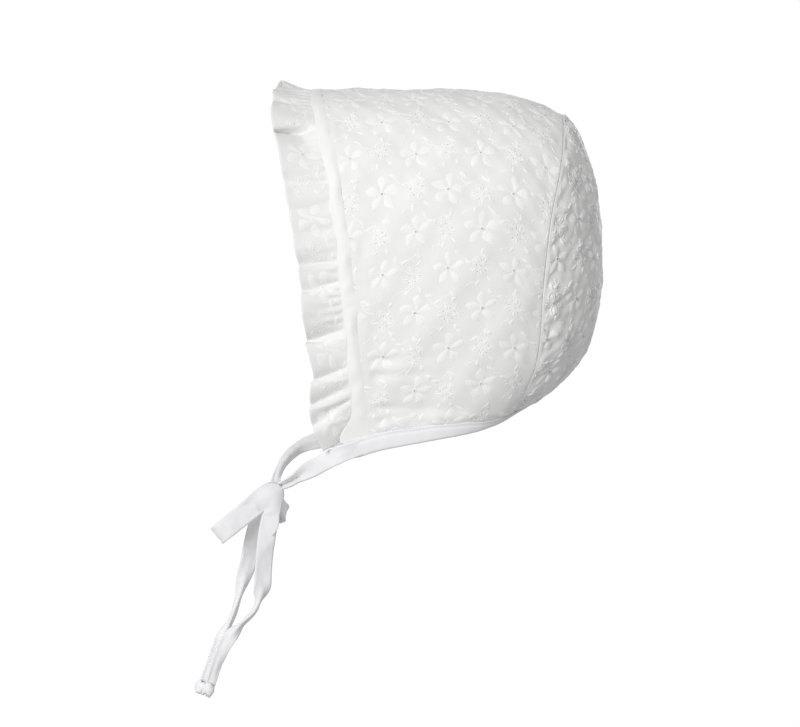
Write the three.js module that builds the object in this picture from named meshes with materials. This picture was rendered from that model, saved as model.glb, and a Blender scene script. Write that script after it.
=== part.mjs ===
// A baby's cotton bonnet: a crown panel arched over the head from ear to ear, a bulging back
// panel, a puffed band and a gathered ruffle round the face, a tape folded over the neck edge,
// and that tape's two free runs tied in a bow under the chin.
// Millimetres, +Z up, the face towards -Y, the wearer's left side at +X.
// The origin is on the inside of the crown at its top, where the head bears.

import * as THREE from "three";

// Driving dimensions
const CLOTH = 1.2; // wall of the crown and back panels
const RUFFLE_CLOTH = 1.0;
const GAP = 0.3; // clearance between neighbouring pieces
const ARCH_POWER = 2.3; // 2 is an ellipse, more is squarer
const NECK_EASE = 1.8; // how late the sides draw in towards the neck
const BAND_WIDTH = 6.5;
const BAND_PUFF = 1.0; // how far the band stands proud of the crown
const BAND_FLATNESS = 0.6; // less makes the band's top flatter
const RUFFLE_WIDTH = 18.8;
const TAPE_WIDTH = 8.5;
const TAPE_THICK = 1.2;
const BINDING_LEG = 7.0; // how far the folded tape reaches up the cloth
const LEG_SHARE = 0.037; // the same as a share of the way from the top to the neck edge
const BINDING_WALL = 1.0;
const BINDING_SLACK = 0.5; // clearance between the folded tape and the cloth inside it
const HEAD_CENTRE = new THREE.Vector3(0, 5, -85);

// Arched sections of the crown, from the ruffle's seam (at 0) to the back seam (at 1).
// top and hemZ are heights, half the widest half width, widest the drop from the top to there,
// hem the half width at the neck edge, and tuck how far that edge turns in under the head.
const SECTIONS = [
  { at: 0.0, top: 1.1, half: 60.0, widest: 78, hem: 46, hemZ: -165.8, tuck: 0.0 },
  { at: 0.5, top: 1.2, half: 64.0, widest: 80, hem: 50, hemZ: -158.8, tuck: 0.0 },
  { at: 0.76, top: 0.0, half: 62.5, widest: 80, hem: 46, hemZ: -155.2, tuck: 0.4 },
  { at: 0.9, top: -4.0, half: 59.5, widest: 77, hem: 38, hemZ: -151.6, tuck: 0.8 },
  { at: 1.0, top: -9.0, half: 55.5, widest: 72, hem: 30, hemZ: -147.5, tuck: 1.0 },
];

// Side-view lines, by share of the section's whole drop
const FACE_LINE = [
  { at: 0.0, y: -56.0 },
  { at: 0.12, y: -52.4 },
  { at: 0.2, y: -48.6 },
  { at: 0.33, y: -45.0 },
  { at: 0.6, y: -39.8 },
  { at: 1.0, y: -34.5 },
];
const SEAM_LINE = [
  { at: 0.0, y: 61.5 },
  { at: 0.17, y: 59.2 },
  { at: 0.36, y: 54.0 },
  { at: 0.57, y: 50.6 },
  { at: 0.83, y: 47.6 },
  { at: 1.0, y: 38.5 },
];

// Mid-line of the back panel, by share of the way down the back seam
const BACK_LINE = [
  { at: 0.045, y: 61.6, z: -9.05 },
  { at: 0.1, y: 64.9, z: -11.3 },
  { at: 0.2, y: 70.4, z: -19.9 },
  { at: 0.35, y: 77.6, z: -42.0 },
  { at: 0.5, y: 80.7, z: -68.0 },
  { at: 0.62, y: 81.2, z: -90.0 },
  { at: 0.75, y: 76.4, z: -113.0 },
  { at: 0.85, y: 67.0, z: -130.0 },
  { at: 0.93, y: 55.6, z: -141.4 },
  { at: 1.0, y: 43.6, z: -148.0 },
];

// Hollows between the ruffle's folds on the left side: at is the way from the crown's top along
// the ruffle's seam, deep how far the free edge drops in, and wide how broad the hollow is.
// The right side takes the same hollows in the other order.
const HOLLOWS = [
  { at: 10, deep: 2.4, wide: 5.5 },
  { at: 30, deep: 2.6, wide: 5.0 },
  { at: 54, deep: 4.6, wide: 6.5 },
  { at: 73, deep: 2.6, wide: 5.0 },
  { at: 88, deep: 2.8, wide: 5.0 },
  { at: 101, deep: 2.4, wide: 4.5 },
  { at: 116, deep: 3.8, wide: 5.0 },
  { at: 131, deep: 2.8, wide: 5.0 },
  { at: 151, deep: 4.6, wide: 6.5 },
  { at: 170, deep: 3.8, wide: 5.0 },
  { at: 184, deep: 3.0, wide: 4.5 },
  { at: 195, deep: 2.6, wide: 4.0 },
];
const RUFFLE_CREST = 1.6; // how far the folds' crests stand out
const RUFFLE_FLARE = 2.0; // how far the free edge opens outwards
const RUFFLE_SCALLOP = 0.35; // how much the free edge draws back for each millimetre of hollow
const RUFFLE_STAND = 3.4; // how far the fold over the crown's top stands up
const RUFFLE_STAND_REACH = 15; // and how far it runs to each side
const RUFFLE_END = 0.965; // where it stops short of the neck edge, as a share of the way there
const RUFFLE_DROOP = 0.035; // how far its front corners hang lower than their seam, likewise
const RUFFLE_DROOP_FROM = 0.8; // where that starts, likewise
const RUFFLE_RISE = 1.1; // how slowly the folds open from the seam to the free edge

// Routes of the tape's free runs. wide is its spread as a share of the tape's width, pinched at
// the knots, and ax, ay, az point across it.
const TIE_LEFT = [
  { x: 45.6, y: -35.9, z: -165.0, wide: 0.75, ax: -0.25, ay: 0.1, az: -0.96 },
  { x: 42.0, y: -41.0, z: -167.0, wide: 0.95, ax: -0.2, ay: -0.1, az: -0.96 },
  { x: 36.0, y: -47.5, z: -170.0, wide: 1.0, ax: 0.0, ay: -0.2, az: -0.98 },
  { x: 27.0, y: -55.2, z: -174.8, wide: 0.98, ax: 0.3, ay: 0.2, az: -0.9 },
  { x: 17.5, y: -62.4, z: -179.4, wide: 0.82, ax: 0.7, ay: 0.5, az: -0.5 },
  { x: 10.0, y: -68.0, z: -182.4, wide: 0.6, ax: 0.5, ay: 0.7, az: 0.5 },
  { x: 3.5, y: -72.2, z: -184.6, wide: 0.53, ax: 0.2, ay: 0.6, az: 0.8 },
];
const TIE_RIGHT = [
  { x: -45.6, y: -35.3, z: -165.0, wide: 0.75, ax: 0.25, ay: 0.1, az: -0.96 },
  { x: -41.8, y: -43.5, z: -164.8, wide: 0.95, ax: 0.2, ay: -0.1, az: -0.96 },
  { x: -36.0, y: -53.5, z: -164.2, wide: 1.0, ax: 0.0, ay: -0.3, az: -0.95 },
  { x: -29.0, y: -63.2, z: -166.8, wide: 1.0, ax: -0.3, ay: -0.5, az: -0.8 },
  { x: -18.5, y: -69.8, z: -172.6, wide: 0.95, ax: -0.7, ay: -0.6, az: -0.3 },
  { x: -9.0, y: -72.4, z: -178.2, wide: 0.7, ax: -0.5, ay: -0.9, az: 0.1 },
  { x: -2.9, y: -73.2, z: -182.7, wide: 0.53, ax: -0.3, ay: -1.0, az: 0.2 },
];
const LOOP_LEFT = [
  { x: 3.9, y: -78.5, z: -187.4, wide: 0.53, ax: 0.1, ay: 0.7, az: -0.7 },
  { x: 8.0, y: -83.8, z: -192.4, wide: 0.95, ax: 0.0, ay: 0.7, az: -0.7 },
  { x: 11.5, y: -91.2, z: -199.6, wide: 1.05, ax: 0.0, ay: 0.7, az: -0.7 },
  { x: 12.6, y: -97.6, z: -205.8, wide: 1.08, ax: 0.0, ay: 0.7, az: -0.7 },
  { x: 9.4, y: -100.4, z: -208.4, wide: 1.08, ax: 0.0, ay: 0.7, az: -0.7 },
  { x: 6.4, y: -97.2, z: -205.4, wide: 1.08, ax: 0.0, ay: 0.7, az: -0.7 },
  { x: 4.4, y: -90.6, z: -199.2, wide: 1.05, ax: 0.0, ay: 0.7, az: -0.7 },
  { x: 2.0, y: -83.8, z: -192.8, wide: 0.9, ax: 0.0, ay: 0.7, az: -0.7 },
  { x: -0.3, y: -79.0, z: -188.4, wide: 0.53, ax: 0.1, ay: 0.7, az: -0.7 },
];
const LOOP_RIGHT = [
  { x: -4.4, y: -71.8, z: -187.8, wide: 0.53, ax: 0.5, ay: -0.1, az: -0.8 },
  { x: -10.6, y: -70.4, z: -192.6, wide: 0.95, ax: 0.5, ay: -0.1, az: -0.8 },
  { x: -17.6, y: -69.0, z: -197.0, wide: 1.0, ax: 0.5, ay: -0.1, az: -0.8 },
  { x: -23.6, y: -69.0, z: -200.4, wide: 1.0, ax: 0.5, ay: -0.1, az: -0.8 },
  { x: -26.4, y: -71.8, z: -202.0, wide: 1.0, ax: 0.5, ay: 0.0, az: -0.8 },
  { x: -23.2, y: -74.4, z: -200.6, wide: 1.0, ax: 0.5, ay: 0.1, az: -0.8 },
  { x: -17.0, y: -75.0, z: -197.4, wide: 1.0, ax: 0.5, ay: 0.1, az: -0.8 },
  { x: -10.4, y: -75.2, z: -193.2, wide: 0.9, ax: 0.5, ay: 0.1, az: -0.8 },
  { x: -4.8, y: -75.2, z: -188.8, wide: 0.53, ax: 0.5, ay: 0.1, az: -0.8 },
];
const TAIL_LEFT = [
  { x: 2.9, y: -74.1, z: -189.7, wide: 0.53, ax: 0.6, ay: 0.8, az: 0.0 },
  { x: 4.6, y: -75.8, z: -198.5, wide: 0.9, ax: 0.55, ay: 0.83, az: 0.0 },
  { x: 5.4, y: -76.8, z: -211.0, wide: 1.0, ax: 0.55, ay: 0.83, az: 0.0 },
  { x: 5.6, y: -78.0, z: -224.0, wide: 1.0, ax: 0.6, ay: 0.8, az: 0.0 },
  { x: 5.6, y: -79.5, z: -234.5, wide: 1.0, ax: 0.8, ay: 0.6, az: 0.0 },
  { x: 5.4, y: -83.2, z: -243.0, wide: 1.0, ax: 0.97, ay: 0.1, az: 0.1 },
  { x: 5.0, y: -89.4, z: -250.0, wide: 1.0, ax: 0.95, ay: -0.3, az: 0.1 },
  { x: 4.6, y: -95.4, z: -257.4, wide: 0.97, ax: 0.8, ay: -0.6, az: 0.2 },
  { x: 4.2, y: -99.8, z: -267.4, wide: 0.85, ax: 0.6, ay: -0.75, az: 0.2 },
  { x: 4.0, y: -103.0, z: -276.8, wide: 0.53, ax: 0.5, ay: -0.8, az: 0.2 },
];
const TAIL_RIGHT = [
  { x: -1.7, y: -76.6, z: -189.3, wide: 0.53, ax: 0.5, ay: 0.85, az: 0.0 },
  { x: -4.4, y: -81.4, z: -198.6, wide: 0.9, ax: 0.5, ay: 0.85, az: 0.0 },
  { x: -5.2, y: -85.2, z: -211.0, wide: 1.0, ax: 0.5, ay: 0.85, az: 0.0 },
  { x: -5.4, y: -88.2, z: -224.0, wide: 1.0, ax: 0.6, ay: 0.8, az: 0.1 },
  { x: -5.4, y: -91.0, z: -238.0, wide: 1.0, ax: 0.8, ay: 0.6, az: 0.1 },
  { x: -5.2, y: -95.9, z: -252.0, wide: 1.0, ax: 0.98, ay: 0.1, az: 0.1 },
  { x: -4.8, y: -102.4, z: -265.4, wide: 0.87, ax: 0.9, ay: -0.4, az: 0.1 },
  { x: -4.4, y: -106.6, z: -276.4, wide: 0.53, ax: 0.8, ay: -0.6, az: 0.1 },
];

// Knots: centre, the way they lie, radius and length
const KNOTS = {
  bow_knot: { centre: [0, -74.6, -186.0], axis: [0.75, -0.55, 0.1], radius: 3.6, length: 8.4 },
  tail_knot_left: { centre: [3.8, -104.4, -280.8], axis: [0.1, -0.4, -0.9], radius: 2.9, length: 7 },
  tail_knot_right: { centre: [-4.2, -108.2, -280.3], axis: [0.1, -0.4, -0.9], radius: 2.9, length: 7 },
};

// Grid counts
const CROWN_COLUMNS = 52;
const CROWN_ROWS = 9;
const BACK_COLUMNS = 16;
const BACK_ROWS = 18;
const BAND_ROWS = 4;
const RUFFLE_STEP = 2.3; // millimetres of seam to each column of the ruffle
const RUFFLE_ROWS = 4;
const TAPE_STEP = 4.5;
const BACK_TOP_SHARE = BACK_LINE[0].at; // where the back panel's short top edge lies
const KNOT_SIDES = 12;
const PROBE = 1e-3; // step for finite differences
const LEAST_COSINE = 0.5; // limits how far a slanting offset may run

// Where the walls start to lean towards the mitre at the back seam, on each panel
const CROWN_LEAN_FROM = 0.75;
const BACK_LEAN_FROM = 0.5;

// Where the band's puff dies away towards the neck edge
const PUFF_ENDS = 0.05;
const PUFF_FULL = 0.14;

const clamp = THREE.MathUtils.clamp;
const lerp = THREE.MathUtils.lerp;
const smoothstep = THREE.MathUtils.smoothstep;

// Reads one column of a table at a place between its rows, on a smooth curve.
function readTable(table, column, place) {
  const last = table.length - 1;
  const x = clamp(place, table[0].at, table[last].at);
  let i = 0;
  while (i < last - 1 && x > table[i + 1].at) i += 1;
  const slope = (k) => {
    const lower = table[Math.max(k - 1, 0)];
    const upper = table[Math.min(k + 1, last)];
    return (upper[column] - lower[column]) / (upper.at - lower.at);
  };
  const span = table[i + 1].at - table[i].at;
  const t = (x - table[i].at) / span;
  const a = table[i][column];
  const b = table[i + 1][column];
  const easeIn = t * (1 - t) * (1 - t) * span * slope(i);
  const easeOut = t * t * (1 - t) * span * slope(i + 1);
  return a + (b - a) * t * t * (3 - 2 * t) + easeIn - easeOut;
}

// Half of one arched section, from the mid-line at the top down to the neck edge.
class HalfSection extends THREE.Curve {
  constructor(along) {
    super();
    for (const column of ["top", "half", "widest", "hem", "hemZ", "tuck"]) {
      this[column] = readTable(SECTIONS, column, along);
    }
  }

  getPoint(t, target = new THREE.Vector3()) {
    const power = 2 / ARCH_POWER;
    if (t < 0.5) {
      const angle = t * Math.PI;
      const x = this.half * Math.sin(angle) ** power;
      return target.set(x, 0, this.top - this.widest * (1 - Math.cos(angle) ** power));
    }
    const share = 2 * t - 1;
    const angle = (share * Math.PI) / 2;
    const inward = lerp(share ** NECK_EASE, 1 - Math.max(Math.cos(angle), 0) ** power, this.tuck);
    const down = lerp(share, Math.sin(angle) ** power, this.tuck);
    const widestZ = this.top - this.widest;
    return target.set(
      this.half - (this.half - this.hem) * inward,
      0,
      widestZ + (this.hemZ - widestZ) * down,
    );
  }
}

const sections = new Map();
function sectionAt(along) {
  const key = clamp(along, 0, 1).toFixed(5);
  if (!sections.has(key)) sections.set(key, new HalfSection(Number(key)));
  return sections.get(key);
}

// Outer skin of the crown. around runs from -1 at the right neck edge over the top to 1 at the
// left one, and along from 0 at the ruffle's seam to 1 at the back seam.
function crownSkin(around, along) {
  const section = sectionAt(along);
  const share = Math.abs(around);
  const point = section.getPointAt(Math.min(share, 1));
  const drop = (section.top - point.z) / (section.top - section.hemZ);
  const face = readTable(FACE_LINE, "y", drop);
  const seam = readTable(SEAM_LINE, "y", drop);
  point.y = lerp(face, seam, along);
  if (share > 1) {
    const before = crownSkin(1 - PROBE, along);
    const slope = point.clone().sub(before).divideScalar(PROBE);
    point.addScaledVector(slope, share - 1);
  }
  if (around < 0) point.x = -point.x;
  return point;
}

// Outer skin of the back panel. across runs from -1 to 1 between the two seams, and down from 0
// at the seam's top to 1 at the neck edge.
function backSkin(across, down) {
  if (down > 1) {
    const rim = backSkin(across, 1);
    const slope = rim.clone().sub(backSkin(across, 1 - PROBE)).divideScalar(PROBE);
    return rim.addScaledVector(slope, down - 1);
  }
  const edge = crownSkin(down, 1);
  const angle = (across * Math.PI) / 2;
  return new THREE.Vector3(
    edge.x * Math.sin(angle),
    lerp(edge.y, readTable(BACK_LINE, "y", down), Math.cos(angle)),
    lerp(edge.z, readTable(BACK_LINE, "z", down), Math.cos(angle)),
  );
}

// Unit normal of a skin, away from the head.
function normalOf(skin, u, v) {
  const alongU = skin(u + PROBE, v).sub(skin(u - PROBE, v));
  const alongV = skin(u, v + PROBE).sub(skin(u, v - PROBE));
  const normal = alongU.cross(alongV).normalize();
  const outward = skin(u, v).sub(HEAD_CENTRE);
  return normal.dot(outward) < 0 ? normal.negate() : normal;
}

// A point moved off a skin by a depth along its normal. Towards the back seam (lean 1) it moves
// along the line from the head's centre, so that the panels meet there on one mitre.
function offSkin(skin, u, v, depth, lean) {
  const point = skin(u, v);
  const normal = normalOf(skin, u, v);
  const radial = point.clone().sub(HEAD_CENTRE).normalize();
  const way = normal.clone().lerp(radial, lean).normalize();
  return point.addScaledVector(way, depth / Math.max(way.dot(normal), LEAST_COSINE));
}

function offCrown(around, along, depth) {
  return offSkin(crownSkin, around, along, depth, smoothstep(along, CROWN_LEAN_FROM, 1));
}

function offBack(across, down, depth) {
  return offSkin(backSkin, across, down, depth, smoothstep(Math.abs(across), BACK_LEAN_FROM, 1));
}

// Even steps from one number to another, both ends included.
function steps(from, to, count) {
  return Array.from({ length: count + 1 }, (_, i) => lerp(from, to, i / count));
}

// A geometry from points and triangles, turned so that its faces point out.
function solid(points, triangles) {
  let volume = 0;
  for (const [a, b, c] of triangles) {
    volume += points[a].dot(points[b].clone().cross(points[c]));
  }
  const index = triangles.flatMap(([a, b, c]) => (volume < 0 ? [a, c, b] : [a, b, c]));
  const geometry = new THREE.BufferGeometry().setFromPoints(points);
  geometry.setIndex(index);
  geometry.computeVertexNormals();
  return geometry;
}

// Two triangles over four corners, split on the shorter diagonal.
function quad(points, a, b, c, d) {
  const split = points[a].distanceTo(points[c]) <= points[b].distanceTo(points[d]);
  return split ? [[a, b, c], [a, c, d]] : [[a, b, d], [b, c, d]];
}

// A closed wall between an outer skin (side 0) and an inner one (side 1) over a grid.
function wall(skin, columns, rows) {
  const points = [];
  for (const side of [0, 1]) {
    for (const v of rows) {
      for (const u of columns) points.push(skin(u, v, side));
    }
  }
  const at = (i, j, side) => (side * rows.length + j) * columns.length + i;
  const triangles = [];
  const face = (a, b, c, d) => triangles.push(...quad(points, a, b, c, d));
  const right = columns.length - 1;
  const bottom = rows.length - 1;
  for (let j = 0; j < bottom; j += 1) {
    for (let i = 0; i < right; i += 1) {
      face(at(i, j, 0), at(i + 1, j, 0), at(i + 1, j + 1, 0), at(i, j + 1, 0));
      face(at(i, j, 1), at(i, j + 1, 1), at(i + 1, j + 1, 1), at(i + 1, j, 1));
    }
    face(at(0, j, 0), at(0, j + 1, 0), at(0, j + 1, 1), at(0, j, 1));
    face(at(right, j, 0), at(right, j, 1), at(right, j + 1, 1), at(right, j + 1, 0));
  }
  for (let i = 0; i < right; i += 1) {
    face(at(i, 0, 0), at(i, 0, 1), at(i + 1, 0, 1), at(i + 1, 0, 0));
    face(at(i, bottom, 0), at(i + 1, bottom, 0), at(i + 1, bottom, 1), at(i, bottom, 1));
  }
  return solid(points, triangles);
}

// A closed bar through a row of rings that all have the same number of points.
function bar(rings) {
  const points = rings.flat();
  const size = rings[0].length;
  const triangles = [];
  for (let j = 0; j < rings.length - 1; j += 1) {
    for (let i = 0; i < size; i += 1) {
      const a = j * size + i;
      const b = j * size + ((i + 1) % size);
      triangles.push(...quad(points, a, b, b + size, a + size));
    }
  }
  return { points, triangles, size };
}

// Length of the crown from its face to its back seam, at one place round the arch.
function crownLength(around) {
  return crownSkin(around, 1).distanceTo(crownSkin(around, 0));
}

// Places round the arch: even steps, with one at the top of the binding on each side.
function aroundSteps() {
  const even = steps(-1 + LEG_SHARE, 1 - LEG_SHARE, CROWN_COLUMNS - 2);
  return [-1, ...even, 1];
}

// Places along the crown and along the band, row running from 0 at the front to 1 at the back.
function crownAlong(around, row) {
  const length = crownLength(around);
  return lerp((BAND_WIDTH + GAP) / length, 1 - GAP / length, row);
}

function bandAlong(around, row) {
  return (row * BAND_WIDTH) / crownLength(around);
}

function crownPanel() {
  const skin = (around, row, side) => {
    const along = crownAlong(around, row);
    return offCrown(around, along, side ? -CLOTH : 0);
  };
  return wall(skin, aroundSteps(), steps(0, 1, CROWN_ROWS));
}

function backPanel() {
  const downSteps = [...steps(BACK_TOP_SHARE, 1 - LEG_SHARE, BACK_ROWS - 1), 1];
  const skin = (across, down, side) => offBack(across, down, side ? -CLOTH : 0);
  return wall(skin, steps(-1, 1, BACK_COLUMNS), downSteps);
}

function frontBand() {
  const skin = (around, row, side) => {
    const along = bandAlong(around, row);
    const fade = smoothstep(1 - Math.abs(around), PUFF_ENDS, PUFF_FULL);
    const puff = BAND_PUFF * fade * Math.sin(Math.PI * row) ** BAND_FLATNESS;
    return offCrown(around, along, side ? -CLOTH : puff);
  };
  return wall(skin, aroundSteps(), steps(0, 1, BAND_ROWS));
}

// Height of the ruffle's free edge over its flat base, at a way from the crown's top.
function ruffleWave(way, left, half) {
  let height = RUFFLE_CREST;
  for (const hollow of HOLLOWS) {
    const at = left ? hollow.at : half - hollow.at;
    height -= hollow.deep * Math.exp(-(((way - at) / hollow.wide) ** 2));
  }
  return height;
}

function frontRuffle() {
  const half = sectionAt(0).getLength();
  const middle = (around, row) => {
    const length = crownLength(around);
    const way = Math.abs(around) * half;
    const topFold = Math.exp(-((way / RUFFLE_STAND_REACH) ** 2));
    const wave = lerp(ruffleWave(way, around > 0, half), RUFFLE_STAND, topFold);
    const drawnBack = RUFFLE_SCALLOP * Math.max(RUFFLE_CREST - wave, 0);
    const reach = GAP + row * (RUFFLE_WIDTH - drawnBack);
    const height = Math.max(row, 0) ** RUFFLE_RISE * (wave + RUFFLE_FLARE * row) - CLOTH / 2;
    const droop = 1 + RUFFLE_DROOP * row * smoothstep(Math.abs(around), RUFFLE_DROOP_FROM, 1);
    return offCrown(around * droop, -reach / length, height);
  };
  const skin = (around, row, side) => {
    const normal = normalOf(middle, around, row);
    const shift = (side ? -0.5 : 0.5) * RUFFLE_CLOTH;
    return middle(around, row).addScaledVector(normal, shift);
  };
  const count = Math.round((2 * RUFFLE_END * half) / RUFFLE_STEP);
  const columns = steps(-RUFFLE_END, RUFFLE_END, count);
  return wall(skin, columns, steps(0, 1, RUFFLE_ROWS));
}

// Stations round the neck edge, from the left front corner round the nape to the right one, at
// the same places as the panels' own columns. Each gives a point at a reach up the cloth and a
// depth off its outer skin.
function neckStations() {
  const share = (up) => 1 - (up * LEG_SHARE) / BINDING_LEG;
  const side = (sign, along) => (row) => (up, depth) => {
    const around = share(up);
    return offCrown(sign * around, along(around, row), depth);
  };
  const nape = (across) => (up, depth) => offBack(across, share(up), depth);
  const half = (sign) => [
    ...steps(0, 1, BAND_ROWS).map(side(sign, bandAlong)),
    ...steps(0, 1, CROWN_ROWS).map(side(sign, crownAlong)),
  ];
  return [...half(1), ...steps(1, -1, BACK_COLUMNS).map(nape), ...half(-1).reverse()];
}

function neckBinding() {
  const outer = BINDING_SLACK + BINDING_WALL;
  const inner = -CLOTH - outer;
  const corner = 0.5;
  const profile = [
    [BINDING_LEG, outer],
    [-BINDING_SLACK, outer],
    [-outer, outer - corner],
    [-outer, inner + corner],
    [-BINDING_SLACK, inner],
    [BINDING_LEG, inner],
    [BINDING_LEG, inner + BINDING_WALL],
    [-BINDING_SLACK, inner + BINDING_WALL],
    [-BINDING_SLACK, BINDING_SLACK],
    [BINDING_LEG, BINDING_SLACK],
  ];
  const rings = neckStations().map((place) => profile.map(([up, depth]) => place(up, depth)));
  const { points, triangles, size } = bar(rings);
  const flat = profile.map(([up, depth]) => new THREE.Vector2(up, depth));
  const last = points.length - size;
  for (const [a, b, c] of THREE.ShapeUtils.triangulateShape(flat, [])) {
    triangles.push([a, c, b], [last + a, last + b, last + c]);
  }
  return solid(points, triangles);
}

// A flat tape with rounded edges along a route.
function tape(route) {
  const path = new THREE.CatmullRomCurve3(route.map((row) => new THREE.Vector3(row.x, row.y, row.z)));
  const turn = new THREE.CatmullRomCurve3(route.map((row) => new THREE.Vector3(row.ax, row.ay, row.az)));
  const spread = route.map((row, i) => ({ at: i / (route.length - 1), wide: row.wide }));
  const outline = [
    [0.5, 0.25],
    [0.36, 0.5],
    [-0.36, 0.5],
    [-0.5, 0.25],
    [-0.5, -0.25],
    [-0.36, -0.5],
    [0.36, -0.5],
    [0.5, -0.25],
  ];
  const count = Math.max(6, Math.round(path.getLength() / TAPE_STEP));
  const rings = steps(0, 1, count).map((share) => {
    const t = path.getUtoTmapping(share);
    const centre = path.getPoint(t);
    const tangent = path.getTangent(t);
    const across = turn.getPoint(t).projectOnPlane(tangent).normalize();
    const face = tangent.clone().cross(across);
    const wide = readTable(spread, "wide", t);
    return outline.map(([a, b]) => centre
      .clone()
      .addScaledVector(across, a * wide * TAPE_WIDTH)
      .addScaledVector(face, b * TAPE_THICK));
  });
  const { points, triangles, size } = bar(rings);
  const last = points.length - size;
  for (let i = 1; i < size - 1; i += 1) {
    triangles.push([0, i + 1, i], [last, last + i, last + i + 1]);
  }
  return solid(points, triangles);
}

// A small knot: a barrel with two wraps of tape round it.
function knotMesh(name, { centre, axis, radius, length }, material) {
  const half = length / 2;
  const profile = [
    [0, -half],
    [0.62, -half],
    [0.95, -0.6 * half],
    [1, -0.25 * half],
    [0.86, 0],
    [1, 0.25 * half],
    [0.95, 0.6 * half],
    [0.62, half],
    [0, half],
  ].map(([r, y]) => new THREE.Vector2(r * radius, y));
  const mesh = new THREE.Mesh(new THREE.LatheGeometry(profile, KNOT_SIDES), material);
  mesh.name = name;
  mesh.position.set(...centre);
  const way = new THREE.Vector3(...axis).normalize();
  mesh.quaternion.setFromUnitVectors(new THREE.Vector3(0, 1, 0), way);
  return mesh;
}

const bonnet = new THREE.Group();

const cotton = new THREE.MeshStandardMaterial({ color: 0xf2f1ee, roughness: 0.88, metalness: 0 });
const tapeCotton = new THREE.MeshStandardMaterial({ color: 0xf3f3f5, roughness: 0.8, metalness: 0 });

function add(name, geometry, material) {
  const mesh = new THREE.Mesh(geometry, material);
  mesh.name = name;
  bonnet.add(mesh);
}

add("crown_panel", crownPanel(), cotton);
add("back_panel", backPanel(), cotton);
add("front_band", frontBand(), cotton);
add("front_ruffle", frontRuffle(), cotton);
add("neck_binding", neckBinding(), tapeCotton);

const ribbons = {
  tie_left: TIE_LEFT,
  tie_right: TIE_RIGHT,
  bow_loop_left: LOOP_LEFT,
  bow_loop_right: LOOP_RIGHT,
  tie_tail_left: TAIL_LEFT,
  tie_tail_right: TAIL_RIGHT,
};
for (const [name, route] of Object.entries(ribbons)) add(name, tape(route), tapeCotton);

for (const [name, knot] of Object.entries(KNOTS)) bonnet.add(knotMesh(name, knot, tapeCotton));

export default bonnet;
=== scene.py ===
# %% [markdown]
# # A baby's bonnet of white embroidered cotton
# The packed model has the right sizes already: a crown arched over the head, a bulging back, a
# puffed band, a face ruffle, and a tape folded over the neck edge whose ends tie in a bow.
# This notebook dresses it in cloth. Every piece of cloth is drawn flat first, in millimetres,
# and a function then carries each flat point to its place round the head. The cloth, its
# embroidery and its stitches go through the same function, so they all bend together.

# %% The frame
import math

import bmesh
import bpy
import numpy as np
from mathutils import Matrix, Vector


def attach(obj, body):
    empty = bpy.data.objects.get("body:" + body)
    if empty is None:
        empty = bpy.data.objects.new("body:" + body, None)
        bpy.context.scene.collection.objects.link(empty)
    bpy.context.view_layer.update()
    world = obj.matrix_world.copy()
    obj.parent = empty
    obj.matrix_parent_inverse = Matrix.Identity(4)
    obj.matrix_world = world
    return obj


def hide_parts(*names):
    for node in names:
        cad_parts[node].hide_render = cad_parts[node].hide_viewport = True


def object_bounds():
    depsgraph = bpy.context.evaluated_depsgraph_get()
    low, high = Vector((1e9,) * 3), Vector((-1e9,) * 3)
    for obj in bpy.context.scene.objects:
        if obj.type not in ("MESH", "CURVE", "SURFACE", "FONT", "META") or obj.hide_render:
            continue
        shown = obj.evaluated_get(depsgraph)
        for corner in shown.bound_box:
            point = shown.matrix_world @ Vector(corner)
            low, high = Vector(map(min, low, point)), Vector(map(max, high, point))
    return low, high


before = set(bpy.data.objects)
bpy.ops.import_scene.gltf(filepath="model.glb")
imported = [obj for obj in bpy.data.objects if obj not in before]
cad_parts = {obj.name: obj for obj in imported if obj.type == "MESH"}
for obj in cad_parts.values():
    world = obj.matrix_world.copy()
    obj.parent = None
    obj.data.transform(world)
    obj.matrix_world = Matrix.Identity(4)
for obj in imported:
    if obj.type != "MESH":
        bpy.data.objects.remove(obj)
cad_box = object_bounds()
MM = 0.001
print("CAD nodes:", len(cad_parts))
print("CAD box:", [tuple(round(x, 4) for x in corner) for corner in cad_box])

# %% [markdown]
# ## The camera
# The bonnet is seen exactly from its left side, from a little above. A long lens far away keeps
# the outline almost free of perspective, as a product photograph does. The lens follows from the
# distance and from how many millimetres of the bonnet's mid-plane the picture spans.

# %% The camera
AIM = Vector((0.0, -0.0141, -0.127))
CAMERA_DISTANCE = 1.25
CAMERA_ELEVATION = math.radians(2.0)
PICTURE_WIDTH = 0.376
SENSOR_WIDTH = 36.0

camera_data = bpy.data.cameras.new("camera")
camera_data.sensor_width = SENSOR_WIDTH
camera_data.lens = SENSOR_WIDTH * CAMERA_DISTANCE / PICTURE_WIDTH
camera = bpy.data.objects.new("camera", camera_data)
bpy.context.collection.objects.link(camera)
side_on = Vector((math.cos(CAMERA_ELEVATION), 0.0, math.sin(CAMERA_ELEVATION)))
camera.location = AIM + CAMERA_DISTANCE * side_on
camera.rotation_euler = (-side_on).to_track_quat("-Z", "Y").to_euler()
bpy.context.scene.camera = camera
print("lens:", round(camera_data.lens, 1), "mm")

# %% [markdown]
# ## Shader maths in Python
# A material is a tree of nodes. Wiring Math nodes by hand hides the formula, so one small class
# wraps an output socket: adding, multiplying or subtracting such outputs adds the Math nodes.
# Every other node comes from its node method, which sets the node up and then feeds its sockets.

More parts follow.
